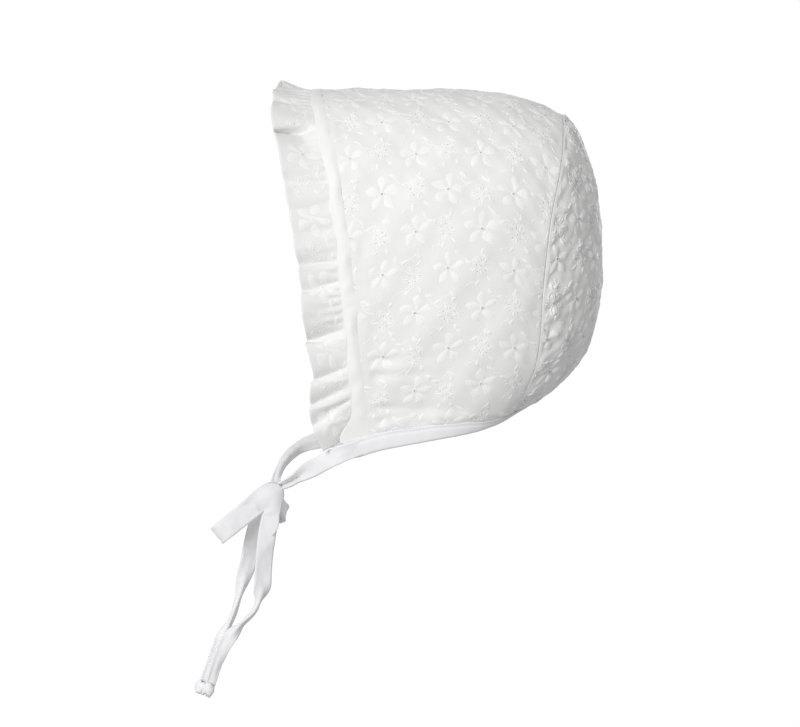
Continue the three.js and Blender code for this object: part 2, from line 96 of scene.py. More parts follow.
# %% A socket that takes part in arithmetic
class Socket:
    """One output of a node tree. Arithmetic on it adds Math nodes to the tree."""

    def __init__(self, tree, output=None):
        self.tree = tree
        self.output = output

    def node(self, kind, settings=None, inputs=None, output=0):
        made = self.tree.nodes.new(kind)
        for name, value in (settings or {}).items():
            setattr(made, name, value)
        for name, value in (inputs or {}).items():
            if isinstance(value, Socket):
                self.tree.links.new(value.output, made.inputs[name])
            else:
                made.inputs[name].default_value = value
        return Socket(self.tree, made.outputs[output] if made.outputs else None)

    def math(self, operation, first, second=0.0):
        return self.node("ShaderNodeMath", {"operation": operation}, {0: first, 1: second})

    def __add__(self, other):
        return self.math("ADD", self, other)

    def __sub__(self, other):
        return self.math("SUBTRACT", self, other)

    def __rsub__(self, other):
        return self.math("SUBTRACT", other, self)

    def __mul__(self, other):
        return self.math("MULTIPLY", self, other)

    def sine(self):
        return self.math("SINE", self)

    __radd__ = __add__
    __rmul__ = __mul__


def new_material(name):
    """An empty node material, and a socket to start its tree from."""
    material = bpy.data.materials.new(name)
    material.use_nodes = True
    material.node_tree.nodes.clear()
    return material, Socket(material.node_tree)


def finish_material(tree, surface):
    """Wires a shader to the material's output."""
    tree.node("ShaderNodeOutputMaterial", None, {"Surface": surface})


print("a socket also knows:", [name for name in vars(Socket) if not name.startswith("__")])

# %% [markdown]
# ## The cottons
# The real cloth is a fine plain weave, its embroidery a glossier thread, and the tape a closer
# weave again. All are white: what tells them apart is how the threads catch the light. Each
# cloth carries a UV map that counts millimetres along its threads, so the weave follows the
# cloth round every fold. A plain weave rises and falls with the product of two sines.

# %% Woven cotton
UV_NAME = "cloth"
UV_UNIT = 10.0
CLOUD_SCALE = 90.0
CLOUD_SHARE = 0.7
CLOUD_AND_WEAVE_SHADE_DIM = 0.06
CLOUD_ROUGHNESS = 0.12
SLUB_SCALE = 900.0
WEAVE_SHARE = 0.8
WEAVE_BUMP = 0.6
COTTON_SHEEN = 0.1


def thread_lines(tree, pitch):
    """Two waves, across and along the cloth, that repeat with the threads."""
    uv = tree.node("ShaderNodeUVMap", {"uv_map": UV_NAME})
    across = tree.node("ShaderNodeSeparateXYZ", None, {0: uv}, "X")
    along = tree.node("ShaderNodeSeparateXYZ", None, {0: uv}, "Y")
    turns = 2 * math.pi * UV_UNIT / pitch
    return (across * turns).sine(), (along * turns).sine()


def soft_noise(tree, scale, detail=3.0):
    """Cloudy values from 0 to 1 that stay on the piece."""
    place = tree.node("ShaderNodeTexCoord", None, None, "Object")
    settings = {"noise_dimensions": "3D"}
    inputs = {"Vector": place, "Scale": scale, "Detail": detail, "Roughness": 0.55}
    return tree.node("ShaderNodeTexNoise", settings, inputs, 0)


def two_tones(tree, share, shade, light):
    """A colour between two others."""
    mix = {"Factor": share, 6: (*shade, 1.0), 7: (*light, 1.0)}
    return tree.node("ShaderNodeMix", {"data_type": "RGBA"}, mix, 2)


def woven_cotton(name, light, pitch, weave_height, roughness):
    """White cotton: a plain weave in the bump, faint clouds and painted weave shade in the colour.
    """
    material, tree = new_material(name)
    warp, weft = thread_lines(tree, pitch)
    weave = warp * weft * 0.5 + 0.5
    clouds = soft_noise(tree, CLOUD_SCALE)
    slubs = soft_noise(tree, SLUB_SCALE, 1.0)
    # The colour's mask: random clouds of tone, and painted shade where the weave dips between
    # threads
    clouds_and_weave_shade = clouds * CLOUD_SHARE + weave * (1.0 - CLOUD_SHARE)
    shade = [part - CLOUD_AND_WEAVE_SHADE_DIM for part in light]
    height = weave * WEAVE_SHARE + slubs * (1.0 - WEAVE_SHARE)
    bump = {"Strength": WEAVE_BUMP, "Distance": weave_height * MM, "Height": height}
    look = {
        "Base Color": two_tones(tree, clouds_and_weave_shade, shade, light),
        "Roughness": roughness + (clouds - 0.5) * CLOUD_ROUGHNESS,
        "Normal": tree.node("ShaderNodeBump", None, bump),
        "Specular IOR Level": 0.25,
        "Sheen Weight": COTTON_SHEEN,
        "Sheen Roughness": 0.5,
    }
    finish_material(tree, tree.node("ShaderNodeBsdfPrincipled", None, look))
    return material


# Each cotton has its light colour, the pitch and height of its weave, and its roughness
PANEL_COTTON = woven_cotton("panel_cotton", (0.845, 0.845, 0.84), 0.8, 0.09, 0.86)
BAND_COTTON = woven_cotton("band_cotton", (0.88, 0.88, 0.875), 0.8, 0.07, 0.84)
TAPE_COTTON = woven_cotton("tape_cotton", (0.86, 0.86, 0.875), 0.7, 0.03, 0.78)
print("cottons:", [m.name for m in (PANEL_COTTON, BAND_COTTON, TAPE_COTTON)])

# %% Embroidery thread, and the shade inside an eyelet
SATIN_PITCH = 0.55
SATIN_GROOVE_SHADE = 0.93
SATIN_ROUGH = 0.62
SATIN_GLOSS = 0.12
SATIN_BUMP = 0.7
SATIN_HEIGHT = 0.1
HOLE_SCALE = 2000.0
HOLE_SHADE_DARK = (0.4, 0.4, 0.41)
HOLE_SHADE_PALE = (0.55, 0.55, 0.56)


def embroidery_thread(name, colour):
    """A soft glossy thread: ridges run across each stitched shape, one to a thread, shade painted in
    the grooves.
    """
    material, tree = new_material(name)
    _, ridges = thread_lines(tree, SATIN_PITCH)
    strand = ridges * 0.5 + 0.5
    # The grooves between the strands get a painted shade, a little darker than the strands' crests
    groove_shade = [SATIN_GROOVE_SHADE * part for part in colour]
    bump = {"Strength": SATIN_BUMP, "Distance": SATIN_HEIGHT * MM, "Height": strand}
    look = {
        "Base Color": two_tones(tree, strand, groove_shade, colour),
        "Roughness": SATIN_ROUGH - strand * SATIN_GLOSS,
        "Normal": tree.node("ShaderNodeBump", None, bump),
        "Specular IOR Level": 0.4,
        "Sheen Weight": 0.2,
        "Sheen Roughness": 0.3,
    }
    finish_material(tree, tree.node("ShaderNodeBsdfPrincipled", None, look))
    return material


def eyelet_shade(name):
    """The painted shade of the hole that shows through each worked eyelet."""
    material, tree = new_material(name)
    # A grey painted shade for the hole, darker or paler at random
    depth = soft_noise(tree, HOLE_SCALE, 1.0)
    tint = two_tones(tree, depth, HOLE_SHADE_DARK, HOLE_SHADE_PALE)
    look = {"Base Color": tint, "Roughness": 0.95, "Specular IOR Level": 0.1}
    finish_material(tree, tree.node("ShaderNodeBsdfPrincipled", None, look))
    return material


THREAD = embroidery_thread("embroidery_thread", (0.925, 0.925, 0.92))
EYELET = eyelet_shade("eyelet_shade")
print("threads:", [m.name for m in (THREAD, EYELET)])

# %% [markdown]
# ## Smooth tables
# The bonnet's lines are written as short tables, a row for each section, and read between the
# rows on a smooth curve. NumPy reads a whole array of places in one go, which keeps meshes of
# many thousand points quick to make. Lengths are millimetres. A few small helpers stand in most
# formulas below: ease is a smooth step, near is a soft hump, and uneven is a wave whose spacing
# strays, because nothing on gathered cloth repeats exactly. Such a spacing is given as the way
# of one radian, how far it strays, and the way of one radian of the straying.

# %% Reading a table between its rows
def blend(low, high, share):
    """The value at a share of the way from low to high."""
    return low + (high - low) * share


def ease(value, low, high):
    """0 below low, 1 above high, and a smooth step between."""
    share = np.clip((value - low) / (high - low), 0.0, 1.0)
    return share * share * (3.0 - 2.0 * share)


def near(off, reach):
    """1 on a line, fading to 0 about two reaches off it."""
    return np.exp(-((off / reach) ** 2))


def crossed(way, other, length, stray, stray_length, start=0.0):
    """A wave between -1 and 1 along one way, whose spacing strays with another."""
    return np.sin(way / length + stray * np.sin(other / stray_length) + start)


def uneven(way, length, stray, stray_length, start=0.0):
    """A wave between -1 and 1 whose spacing strays as it goes."""
    return crossed(way, way, length, stray, stray_length, start)


def waves(way, terms):
    """A sum of sines, each with its height, the way of one radian and its start."""
    return sum(height * np.sin(way / length + start) for height, length, start in terms)


def come_and_go(way, length, share, start=0.0):
    """A slow wave that reaches up to 1 and down from it by twice the share."""
    return 1.0 - share + share * np.sin(way / length + start)


class Table:
    """Rows of named columns. The first column says where each row is."""

    def __init__(self, names, rows):
        columns = [np.array(column, float) for column in zip(*rows)]
        self.at = columns[0]
        self.columns = dict(zip(names.split(), columns[1:]))

    def read(self, name, place):
        """A column on a smooth curve through its rows."""
        at, value = self.at, self.columns[name]
        last = len(at) - 1
        row = np.arange(last + 1)
        lower = np.maximum(row - 1, 0)
        upper = np.minimum(row + 1, last)
        slope = (value[upper] - value[lower]) / (at[upper] - at[lower])
        x = np.clip(place, at[0], at[-1])
        i = np.clip(np.searchsorted(at, x, side="right") - 1, 0, last - 1)
        span = at[i + 1] - at[i]
        t = (x - at[i]) / span
        bends = t * (1 - t) * span * ((1 - t) * slope[i] - t * slope[i + 1])
        return value[i] + (value[i + 1] - value[i]) * t * t * (3 - 2 * t) + bends


print("half way up a ramp:", float(Table("height", [(0, 0), (1, 1), (2, 2)]).read("height", 0.5)))

# %% [markdown]
# ## The tape's free runs
# The two ends of the neck tape run under the chin, tie in a bow and hang down. Each run is a
# flat cord of a fixed length that keeps close to its solid, so these come before the rest of
# the cloth. A route lists the points that a run passes, how wide it spreads there as a
# share of the tape, and the way across it. The tape is a flat strip laid along that route. Where
# a knot pinches it, its width goes into small pleats. The straps and tails also fold lengthways
# for part of their way, like a shallow roof, so one half is in shade.

# %% Routes of the tape
TAPE_WIDTH = 8.5
TAPE_THICK = 0.9
TAPE_COLUMNS = "x y z wide ax ay az"
TIE_LEFT = [
    (47.0, -27.2, -161.6, 0.84, -0.15, 0.2, -0.97),
    (47.2, -34.4, -164.1, 0.88, -0.15, 0.15, -0.97),
    (46.6, -41.4, -166.6, 0.95, -0.15, 0.0, -0.98),
    (41.5, -48.2, -170.2, 0.95, -0.05, -0.1, -0.97),
    (31.0, -55.2, -174.6, 0.95, 0.0, 0.25, -0.95),
    (19.0, -61.6, -179.2, 0.95, 0.0, 0.45, -0.85),
    (6.0, -67.2, -182.8, 0.8, 0.0, 0.45, -0.85),
    (-2.0, -71.8, -185.2, 0.5, 0.1, 0.3, -0.85),
]
TIE_RIGHT = [
    (-47.0, -27.2, -161.4, 0.84, 0.15, 0.2, -0.97),
    (-47.2, -34.4, -163.9, 0.84, 0.15, 0.15, -0.97),
    (-42.0, -43.5, -165.4, 0.9, 0.3, 0.1, -0.95),
    (-36.0, -53.0, -165.4, 0.92, 0.4, 0.2, -0.88),
    (-28.5, -61.6, -167.6, 0.88, 0.35, 0.4, -0.8),
    (-18.5, -67.8, -172.2, 0.75, 0.2, 0.7, -0.65),
    (-9.0, -71.4, -178.0, 0.5, 0.1, 0.8, -0.45),
    (-2.2, -73.2, -183.8, 0.5, 0.1, 0.85, -0.3),
]
LOOP_LEFT = [
    (4.0, -74.5, -187.4, 0.9, 0.1, 0.63, -0.77),
    (7.2, -81.0, -192.4, 1.15, 0.0, 0.63, -0.77),
    (11.0, -90.0, -199.4, 1.14, 0.0, 0.62, -0.78),
    (12.6, -96.8, -204.8, 1.12, 0.0, 0.62, -0.78),
    (9.4, -99.6, -207.2, 1.1, 0.0, 0.62, -0.78),
    (6.4, -96.4, -204.6, 1.1, 0.0, 0.62, -0.78),
    (4.4, -90.0, -199.2, 1.05, 0.0, 0.66, -0.75),
    (2.0, -83.6, -193.4, 0.9, 0.0, 0.7, -0.7),
    (-0.2, -78.2, -188.6, 0.53, 0.1, 0.7, -0.7),
]
LOOP_RIGHT = [
    (-3.4, -72.2, -188.2, 0.53, 0.5, -0.1, -0.8),
    (-10.6, -71.0, -193.4, 0.95, 0.55, -0.1, -0.75),
    (-17.6, -69.4, -197.6, 1.0, 0.7, -0.1, -0.6),
    (-23.6, -69.0, -200.0, 1.0, 0.8, -0.1, -0.5),
    (-26.4, -71.6, -201.4, 1.0, 0.8, 0.0, -0.5),
    (-23.2, -74.2, -200.2, 1.0, 0.8, 0.1, -0.5),
    (-17.0, -75.0, -197.4, 1.0, 0.7, 0.1, -0.6),
    (-10.4, -75.2, -193.6, 0.9, 0.5, 0.1, -0.8),
    (-4.0, -75.2, -188.8, 0.53, 0.5, 0.1, -0.8),
]
TAIL_LEFT = [
    (4.8, -74.0, -188.6, 0.8, 0.1, 0.99, 0.0),
    (6.4, -74.7, -197.7, 0.97, 0.05, 0.99, 0.0),
    (6.2, -76.1, -205.3, 0.98, -0.1, 0.99, 0.0),
    (5.8, -77.2, -213.0, 0.97, -0.3, 0.95, 0.0),
    (5.6, -78.2, -224.0, 0.97, -0.4, 0.9, 0.0),
    (5.6, -79.1, -235.0, 0.97, -0.3, 0.95, -0.1),
    (5.4, -82.4, -243.0, 0.97, 0.0, 0.85, -0.5),
    (5.0, -89.4, -249.6, 0.97, 0.2, 0.75, -0.55),
    (4.6, -95.6, -258.0, 0.74, 0.0, 0.85, -0.45),
    (4.2, -99.9, -267.4, 0.62, -0.3, 0.87, -0.4),
    (3.9, -103.4, -278.2, 0.55, -0.3, 0.87, -0.4),
]
TAIL_RIGHT = [
    (-1.4, -76.2, -188.4, 0.53, 0.5, 0.85, 0.0),
    (-4.4, -80.4, -200.0, 0.95, 0.1, 0.99, 0.0),
    (-5.2, -84.0, -212.0, 0.97, -0.4, 0.9, 0.0),
    (-5.4, -86.4, -224.0, 0.97, -0.45, 0.88, 0.0),
    (-5.4, -89.6, -236.0, 0.97, -0.2, 0.97, -0.1),
    (-5.2, -94.2, -248.0, 0.97, 0.1, 0.9, -0.3),
    (-5.0, -100.4, -262.0, 0.68, -0.25, 0.87, -0.4),
    (-4.3, -106.6, -278.0, 0.55, -0.3, 0.87, -0.4),
]
RUNS = {
    "tie_left": TIE_LEFT,
    "tie_right": TIE_RIGHT,
    "bow_loop_left": LOOP_LEFT,
    "bow_loop_right": LOOP_RIGHT,
    "tie_tail_left": TAIL_LEFT,
    "tie_tail_right": TAIL_RIGHT,
}
print("runs of tape:", len(RUNS))

# %% A route that carries flat tape
ROUTE_STEPS = 240
PLEAT_DEPTH = 0.2
PLEAT_TURN = 1.5 * math.pi
PLEAT_START = 0.6
PINCHED = 0.53
CREASE_SOFT = 0.12
EDGE_CURL = 0.22
EDGE_CURL_LENGTH = 5.3
TAPE_WAVE = 0.15
TAPE_WAVE_LENGTH = 3.1
TAPE_WAVE_SLANT = 2
GROOVE_DEPTH = 0.22
GROOVE_AT = 0.1
GROOVE_REACH = 0.3
GROOVE_SPACING = (1.7, 1.0, 4.0)
FLAT = (0.0, 0.5, 0.5, 1.0, 0.0)


def unit(vectors):
    return vectors / np.linalg.norm(vectors, axis=-1, keepdims=True)


def line_way(points):
    """How far along a line of points each of them lies."""
    return np.concatenate([[0.0], np.cumsum(np.linalg.norm(np.diff(points, axis=0), axis=1))])


class Route:
    """A smooth line through a run's points, with its width and its way across.

    A fold gives the shares of the run where the tape begins to fold lengthways, is folded,
    begins to open and is flat again, and the turn of its two halves in degrees.
    """

    def __init__(self, rows, fold=FLAT):
        self.fold = fold
        at = line_way(np.array([row[:3] for row in rows], float))
        table = Table(TAPE_COLUMNS, [(place, *row) for place, row in zip(at, rows)])
        even = np.linspace(0.0, at[-1], ROUTE_STEPS)
        read = {name: table.read(name, even) for name in TAPE_COLUMNS.split()}
        self.points = np.stack([read["x"], read["y"], read["z"]], axis=-1)
        self.at = line_way(self.points)
        self.length = float(self.at[-1])
        self.wide = read["wide"]
        tangent = unit(np.gradient(self.points, axis=0))
        across = np.stack([read["ax"], read["ay"], read["az"]], axis=-1)
        across -= tangent * np.sum(across * tangent, axis=-1, keepdims=True)
        self.across = unit(across)
        self.normal = np.cross(tangent, self.across)

    def along(self, values, way):
        """Numbers or vectors of the route, read at places along it."""
        if values.ndim == 1:
            return np.interp(way, self.at, values)
        return np.stack([np.interp(way, self.at, column) for column in values.T], axis=-1)

    def place(self, way, across, lift):
        """A point of the flat tape: way along it, across from -1 to 1, and lift off its face."""
        wide = self.along(self.wide, way)
        half = TAPE_WIDTH / 2 * wide
        pinch = np.clip((1.0 - wide) / (1.0 - PINCHED), 0.0, 1.0)
        pleat = PLEAT_DEPTH * pinch * np.sin(PLEAT_TURN * across + PLEAT_START)
        curl = EDGE_CURL * across * across * np.sin(way / EDGE_CURL_LENGTH)
        curl = curl + TAPE_WAVE * np.sin(way / TAPE_WAVE_LENGTH + TAPE_WAVE_SLANT * across)
        groove = near(across - GROOVE_AT, GROOVE_REACH) * uneven(way, *GROOVE_SPACING)
        begin, folded, opens, flat, degrees = self.fold
        share = way / self.length
        turn = math.radians(degrees) * ease(share, begin, folded) * (1.0 - ease(share, opens, flat))
        from_crease = np.sqrt(across**2 + CREASE_SOFT**2) - CREASE_SOFT
        relief = pleat + curl + GROOVE_DEPTH * groove
        offset = relief * np.cos(turn) + lift - half * from_crease * np.sin(turn)
        side = self.along(self.across, way) * (half * across * np.cos(turn))[..., None]
        out = self.along(self.normal, way) * offset[..., None]
        return self.along(self.points, way) + side + out


print("left strap:", round(Route(TIE_LEFT).length, 1), "mm")

# %% [markdown]
# ## Laying cloth
# A sheet starts as a flat grid from one bmesh operator. Its UV map keeps the flat millimetres,
# then every vertex moves to where the placing function says. A Solidify modifier gives the cloth
# its thickness at the end, so the mesh itself stays one clean layer.

# %% A flat grid carried to its place
def object_from(name, bm, materials):
    """A smooth-shaded object at the origin from a finished bmesh."""
    for face in bm.faces:
        face.smooth = True
    mesh = bpy.data.meshes.new(name)
    bm.to_mesh(mesh)
    bm.free()
    for material in materials:
        mesh.materials.append(material)
    piece = bpy.data.objects.new(name, mesh)
    bpy.context.collection.objects.link(piece)
    return piece


def put_vertices(bm, points):
    """Moves the vertices to points given in millimetres."""
    for vert, point in zip(bm.verts, points * MM):
        vert.co = point


def put_uvs(bm, across, along):
    """Writes flat millimetres into the cloth's UV map."""
    layer = bm.loops.layers.uv.new(UV_NAME)
    bm.verts.index_update()
    for face in bm.faces:
        for loop in face.loops:
            i = loop.vert.index
            loop[layer].uv = (across[i] / UV_UNIT, along[i] / UV_UNIT)


def unit_square(columns, rows):
    """A new grid of that many cells, and its vertices' shares across and along it."""
    bm = bmesh.new()
    bmesh.ops.create_grid(bm, x_segments=columns, y_segments=rows, size=0.5)
    flat = np.array([vert.co for vert in bm.verts])
    return bm, flat[:, 0] + 0.5, flat[:, 1] + 0.5


def face_outwards(bm, inside):
    """Turns the faces over if the middle one looks towards a point that is inside."""
    bm.normal_update()
    bm.faces.ensure_lookup_table()
    middle = bm.faces[len(bm.faces) // 2]
    if middle.normal.dot(middle.calc_center_median() - Vector(inside) * MM) < 0:
        bmesh.ops.reverse_faces(bm, faces=bm.faces[:])


def thicken(piece, thickness, offset):
    """Gives a sheet its thickness: offset -1 grows inwards, 0 both ways."""
    wall = piece.modifiers.new("thickness", "SOLIDIFY")
    wall.thickness = thickness * MM
    wall.offset = offset


print("a flat millimetre is", 1 / UV_UNIT, "of the UV map")

# %% Straps, bow loops and tails
TAPE_CELL = 1.1
TAPE_CELLS_ACROSS = 10


def tape_run(name, rows, fold):
    """One free run of the tape: a flat grid on its route, thick all round."""
    route = Route(rows, fold)
    bm, share, along = unit_square(TAPE_CELLS_ACROSS, round(route.length / TAPE_CELL))
    across = share * 2 - 1
    way = along * route.length
    put_vertices(bm, route.place(way, across, np.zeros_like(way)))
    put_uvs(bm, across * TAPE_WIDTH / 2, way)
    piece = object_from(name, bm, [TAPE_COTTON])
    thicken(piece, TAPE_THICK, 0.0)
    return piece, route


# Shares of the run where the fold begins, is full, opens and is gone, and its turn in degrees
FOLDS = {
    "tie_left": (0.4, 0.66, 0.94, 1.0, -58.0),
    "tie_right": (0.35, 0.6, 0.8, 1.0, 45.0),
    "tie_tail_left": (0.42, 0.54, 0.66, 0.79, 77.0),
    "tie_tail_right": (0.34, 0.57, 0.68, 0.82, 74.0),
}
tapes = {node: tape_run(node + "_tape", rows, FOLDS.get(node, FLAT)) for node, rows in RUNS.items()}
for node, (piece, route) in tapes.items():
    print(node, "length", round(route.length, 1), "mm")

# %% [markdown]
# ## The bonnet's skins
# The crown is a row of arched sections that lean back from the face seam to the back seam. The
# back panel bulges behind that seam, and meets it at a slight corner. Both follow the solids'
# outer skins to a few millimetres, and take arrays of points: around goes from -1 at the right
# neck edge over the top to 1 at the left one, along from 0 at the face to 1 at the back seam,
# across from -1 to 1 between the two back seams, and down from the back panel's top to its
# neck edge.

# %% Lines of the crown and back
ARCH_POWER = 2.3
NECK_EASE = 1.8
HEAD_CENTRE = np.array([0.0, 5.0, -85.0])
SECTIONS = Table(
    "top half widest hem hem_z tuck",
    [
        (0.0, 1.1, 60.0, 78.0, 46.0, -165.8, 0.0),
        (0.5, 1.2, 64.0, 80.0, 50.0, -158.8, 0.0),
        (0.76, -0.6, 62.5, 79.4, 46.0, -155.2, 0.4),
        (0.9, -5.2, 59.5, 75.8, 38.0, -152.0, 0.8),
        (1.0, -10.4, 55.5, 70.6, 30.0, -148.3, 1.0),
    ],
)
FACE_LINE = Table(
    "y", [(0.0, -56.0), (0.12, -52.4), (0.2, -48.6), (0.33, -45.0), (0.6, -39.8), (1.0, -34.5)]
)
SEAM_LINE = Table(
    "y", [(0.0, 61.5), (0.17, 59.2), (0.36, 54.0), (0.57, 50.6), (0.83, 47.6), (1.0, 38.5)]
)
BACK_LINE = Table(
    "y z",
    [
        (0.045, 61.6, -10.45),
        (0.1, 64.6, -12.8),
        (0.2, 70.5, -21.0),
        (0.35, 77.4, -42.6),
        (0.5, 80.1, -68.0),
        (0.62, 80.6, -90.0),
        (0.75, 76.4, -113.0),
        (0.85, 67.0, -130.0),
        (0.93, 55.6, -141.4),
        (1.0, 43.6, -148.0),
    ],
)
print("sections:", len(SECTIONS.at), "back line rows:", len(BACK_LINE.at))

# %% Arched sections at even steps of their length
ALONG_STEPS = 120
SHARE_STEPS = 600
FINE_STEPS = 900


def half_arch(along):
    """Half of one section from its top down to the neck edge, at even steps of its length."""
    power = 2.0 / ARCH_POWER
    top, half, widest, hem, hem_z, tuck = (SECTIONS.read(c, along) for c in SECTIONS.columns)
    turn = np.linspace(0.0, math.pi / 2, FINE_STEPS)
    rise = np.clip(np.cos(turn), 0.0, 1.0) ** power
    swell = np.sin(turn) ** power
    share = np.linspace(0.0, 1.0, FINE_STEPS)
    inward = blend(share**NECK_EASE, 1.0 - rise, tuck)
    down = blend(share, swell, tuck)
    widest_z = top - widest
    x = np.concatenate([half * swell, (half - (half - hem) * inward)[1:]])
    z = np.concatenate([top - widest * (1.0 - rise), (widest_z + (hem_z - widest_z) * down)[1:]])
    length = np.concatenate([[0.0], np.cumsum(np.hypot(np.diff(x), np.diff(z)))])
    even = np.linspace(0.0, length[-1], SHARE_STEPS + 1)
    return np.interp(even, length, x), np.interp(even, length, z)


arches = [half_arch(along) for along in np.linspace(0.0, 1.0, ALONG_STEPS + 1)]
ARCH_X = np.array([arch[0] for arch in arches])
ARCH_Z = np.array([arch[1] for arch in arches])


def read_grid(grid, row, column):
    """Values of a grid between its rows and columns."""
    i = np.clip(row.astype(int), 0, grid.shape[0] - 2)
    j = np.clip(column.astype(int), 0, grid.shape[1] - 2)
    this_row = blend(grid[i, j], grid[i, j + 1], column - j)
    next_row = blend(grid[i + 1, j], grid[i + 1, j + 1], column - j)
    return blend(this_row, next_row, row - i)


print("arch table:", ARCH_X.shape)

# %% The crown's and the back's outer skins
PROBE = 4e-3
LEAST_COSINE = 0.5
CROWN_LEAN_FROM = 0.75
BACK_LEAN_FROM = 0.5
BACK_TURN = math.radians(64)


def crown_skin(around, along):
    share = np.abs(around)
    row = np.clip(along, 0.0, 1.0) * ALONG_STEPS
    column = np.minimum(share, 1.0) * SHARE_STEPS
    x = read_grid(ARCH_X, row, column)
    z = read_grid(ARCH_Z, row, column)
    top = SECTIONS.read("top", along)
    drop = (top - z) / (top - SECTIONS.read("hem_z", along))
    y = blend(FACE_LINE.read("y", drop), SEAM_LINE.read("y", drop), along)
    points = np.stack([x * np.sign(around), y, z], axis=-1)
    beyond = np.maximum(share - 1.0, 0.0)
    if beyond.any():
        rim = crown_skin(np.sign(around), along)
        slope = (rim - crown_skin(np.sign(around) * (1.0 - PROBE), along)) / PROBE
        points = points + slope * beyond[..., None]
    return points


def back_skin(across, down):
    inner = np.minimum(down, 1.0)
    edge = crown_skin(inner, np.ones_like(inner))
    angle = across * BACK_TURN
    share = np.sin(angle) / math.sin(BACK_TURN)
    bulge = (np.cos(angle) - math.cos(BACK_TURN)) / (1.0 - math.cos(BACK_TURN))
    x = edge[..., 0] * share
    y = blend(edge[..., 1], BACK_LINE.read("y", inner), bulge)
    z = blend(edge[..., 2], BACK_LINE.read("z", inner), bulge)
    points = np.stack([x, y, z], axis=-1)
    beyond = np.maximum(down - 1.0, 0.0)
    if beyond.any():
        rim = back_skin(across, np.ones_like(down))
        slope = (rim - back_skin(across, np.full_like(down, 1.0 - PROBE))) / PROBE
        points = points + slope * beyond[..., None]
    return points


def off_skin(skin, u, v, depth, lean):
    """Points moved off a skin. Near the back seam both panels move on one common mitre."""
    points = skin(u, v)
    across = skin(u + PROBE, v) - skin(u - PROBE, v)
    along = skin(u, v + PROBE) - skin(u, v - PROBE)
    normal = unit(np.cross(across, along))
    outward = unit(points - HEAD_CENTRE)
    normal *= np.where(np.sum(normal * outward, axis=-1, keepdims=True) < 0, -1.0, 1.0)
    way = unit(blend(normal, outward, lean[..., None]))
    steep = np.maximum(np.sum(way * normal, axis=-1), LEAST_COSINE)
    return points + way * (depth / steep)[..., None]


def off_crown(around, along, depth):
    return off_skin(crown_skin, around, along, depth, ease(along, CROWN_LEAN_FROM, 1.0))


def off_back(across, down, depth):
    return off_skin(back_skin, across, down, depth, ease(np.abs(across), BACK_LEAN_FROM, 1.0))


def crown_length(around):
    """From the face to the back seam, straight, at a place round the arch."""
    ends = crown_skin(around, np.ones_like(around)) - crown_skin(around, np.zeros_like(around))
    return np.linalg.norm(ends, axis=-1)


sample = np.array([0.0, 0.5, 1.0])
print("crown lengths, mm:", np.round(crown_length(sample), 1))

# %% [markdown]
# ## Where the flowers stand
# The cloth is covered with flowers in a half-drop repeat: rows one pitch apart, and every second
# row moved on by half a repeat. The stitching is stiffer than the cloth, so the cloth is pulled
# in a little round each flower and swells between them. That soft quilting, a few slow ripples
# and the pull of the seams are what make plain white cloth look like cloth.

# %% Relief of the cloth
FLOWER_PITCH = 29.6
ROW_PITCH = 18.0
QUILT_DEPTH = 0.28
QUILT_REACH = 6.5
# Height of a ripple, its length along both flat ways, and where it starts
RIPPLES = [
    (0.3, 37.0, 61.0, 0.7),
    (0.26, -53.0, 29.0, 2.1),
    (0.16, 17.0, 23.0, 4.0),
    (0.1, -11.0, 13.0, 1.3),
]


def flower_distance(a, b):
    """How far a flat point is from the nearest flower of the repeat."""
    row = np.round(b / ROW_PITCH)
    shifted = a - FLOWER_PITCH / 2 * np.mod(row, 2)
    column = np.round(shifted / FLOWER_PITCH)
    return np.hypot(shifted - column * FLOWER_PITCH, b - row * ROW_PITCH)


def cloth_relief(a, b):
    """Soft quilting round the flowers and slow ripples, in millimetres off the skin."""
    relief = -QUILT_DEPTH * near(flower_distance(a, b), QUILT_REACH)
    for height, wave_a, wave_b, start in RIPPLES:
        relief = relief + height * np.sin(2 * math.pi * (a / wave_a + b / wave_b) + start)
    return relief


print("repeat:", FLOWER_PITCH, "by", ROW_PITCH, "mm")

# %% [markdown]
# ## The crown panel
# One piece of cloth goes over the head from ear to ear. Its flat coordinates are the millimetres
# from front to back and the millimetres round the arch from the top. Where the band and the back
# panel are sewn on, the cloth dips into the seam, and a few creases run back from the band above
# the ear, where the ruffle's gathers pull. Above the neck binding the cloth is slack and puffs
# out, more so towards the back, where it hides part of the binding.

# %% The crown's placing function
HALF_ARCH = 198.0
BAND_WIDTH = 6.5
CLOTH_THICK = 0.8
CROWN_FLOWER = (7.6, 120.3)
SEAM_DIP = 0.14
SEAM_DIP_REACH = 1.0
BAND_SEAT = 0.5
BAND_SEAT_FROM = (0.2, 1.7)
CALM_BACK = (0.0, 5.0)
CALM_BAND = (1.3, 6.0)
CALM_HEM = (0.0, 9.0)
# Way round the arch, lean towards the hem, depth and width of a crease
CREASES = [
    (-165.0, 0.1, 0.9, 2.4),
    (157.0, 0.08, 1.0, 2.0),
    (163.5, 0.1, 1.1, 1.8),
    (178.0, 0.16, 1.4, 2.2),
    (187.0, -0.1, 0.8, 1.8),
    (-179.0, 0.2, 0.8, 2.4),
]
CREASE_START = -34.0
CREASE_REACH = 26.0
LEG_FRONT = 7.0
LEG_BACK = 4.2
LEG_CHANGE = (0.3, 0.85)
HEM_PUFF = 0.85
HEM_PUFF_AT = 3.2
HEM_PUFF_REACH = 2.6
PUFF_BACK = (1.0, 9.0)
PUFF_BAND = (0.0, 9.0)
SLACK = 0.65
SLACK_WAVE = 0.35
SLACK_SPACING = (6.3, 1.0, 2.9)
SPOT_ROUNDS = 4
SPOT_LIMITS = (-0.2, 1.2)


def binding_leg(along):
    """How far the binding reaches up the cloth, from the face to the back seam."""
    return blend(LEG_FRONT, LEG_BACK, ease(along, *LEG_CHANGE))


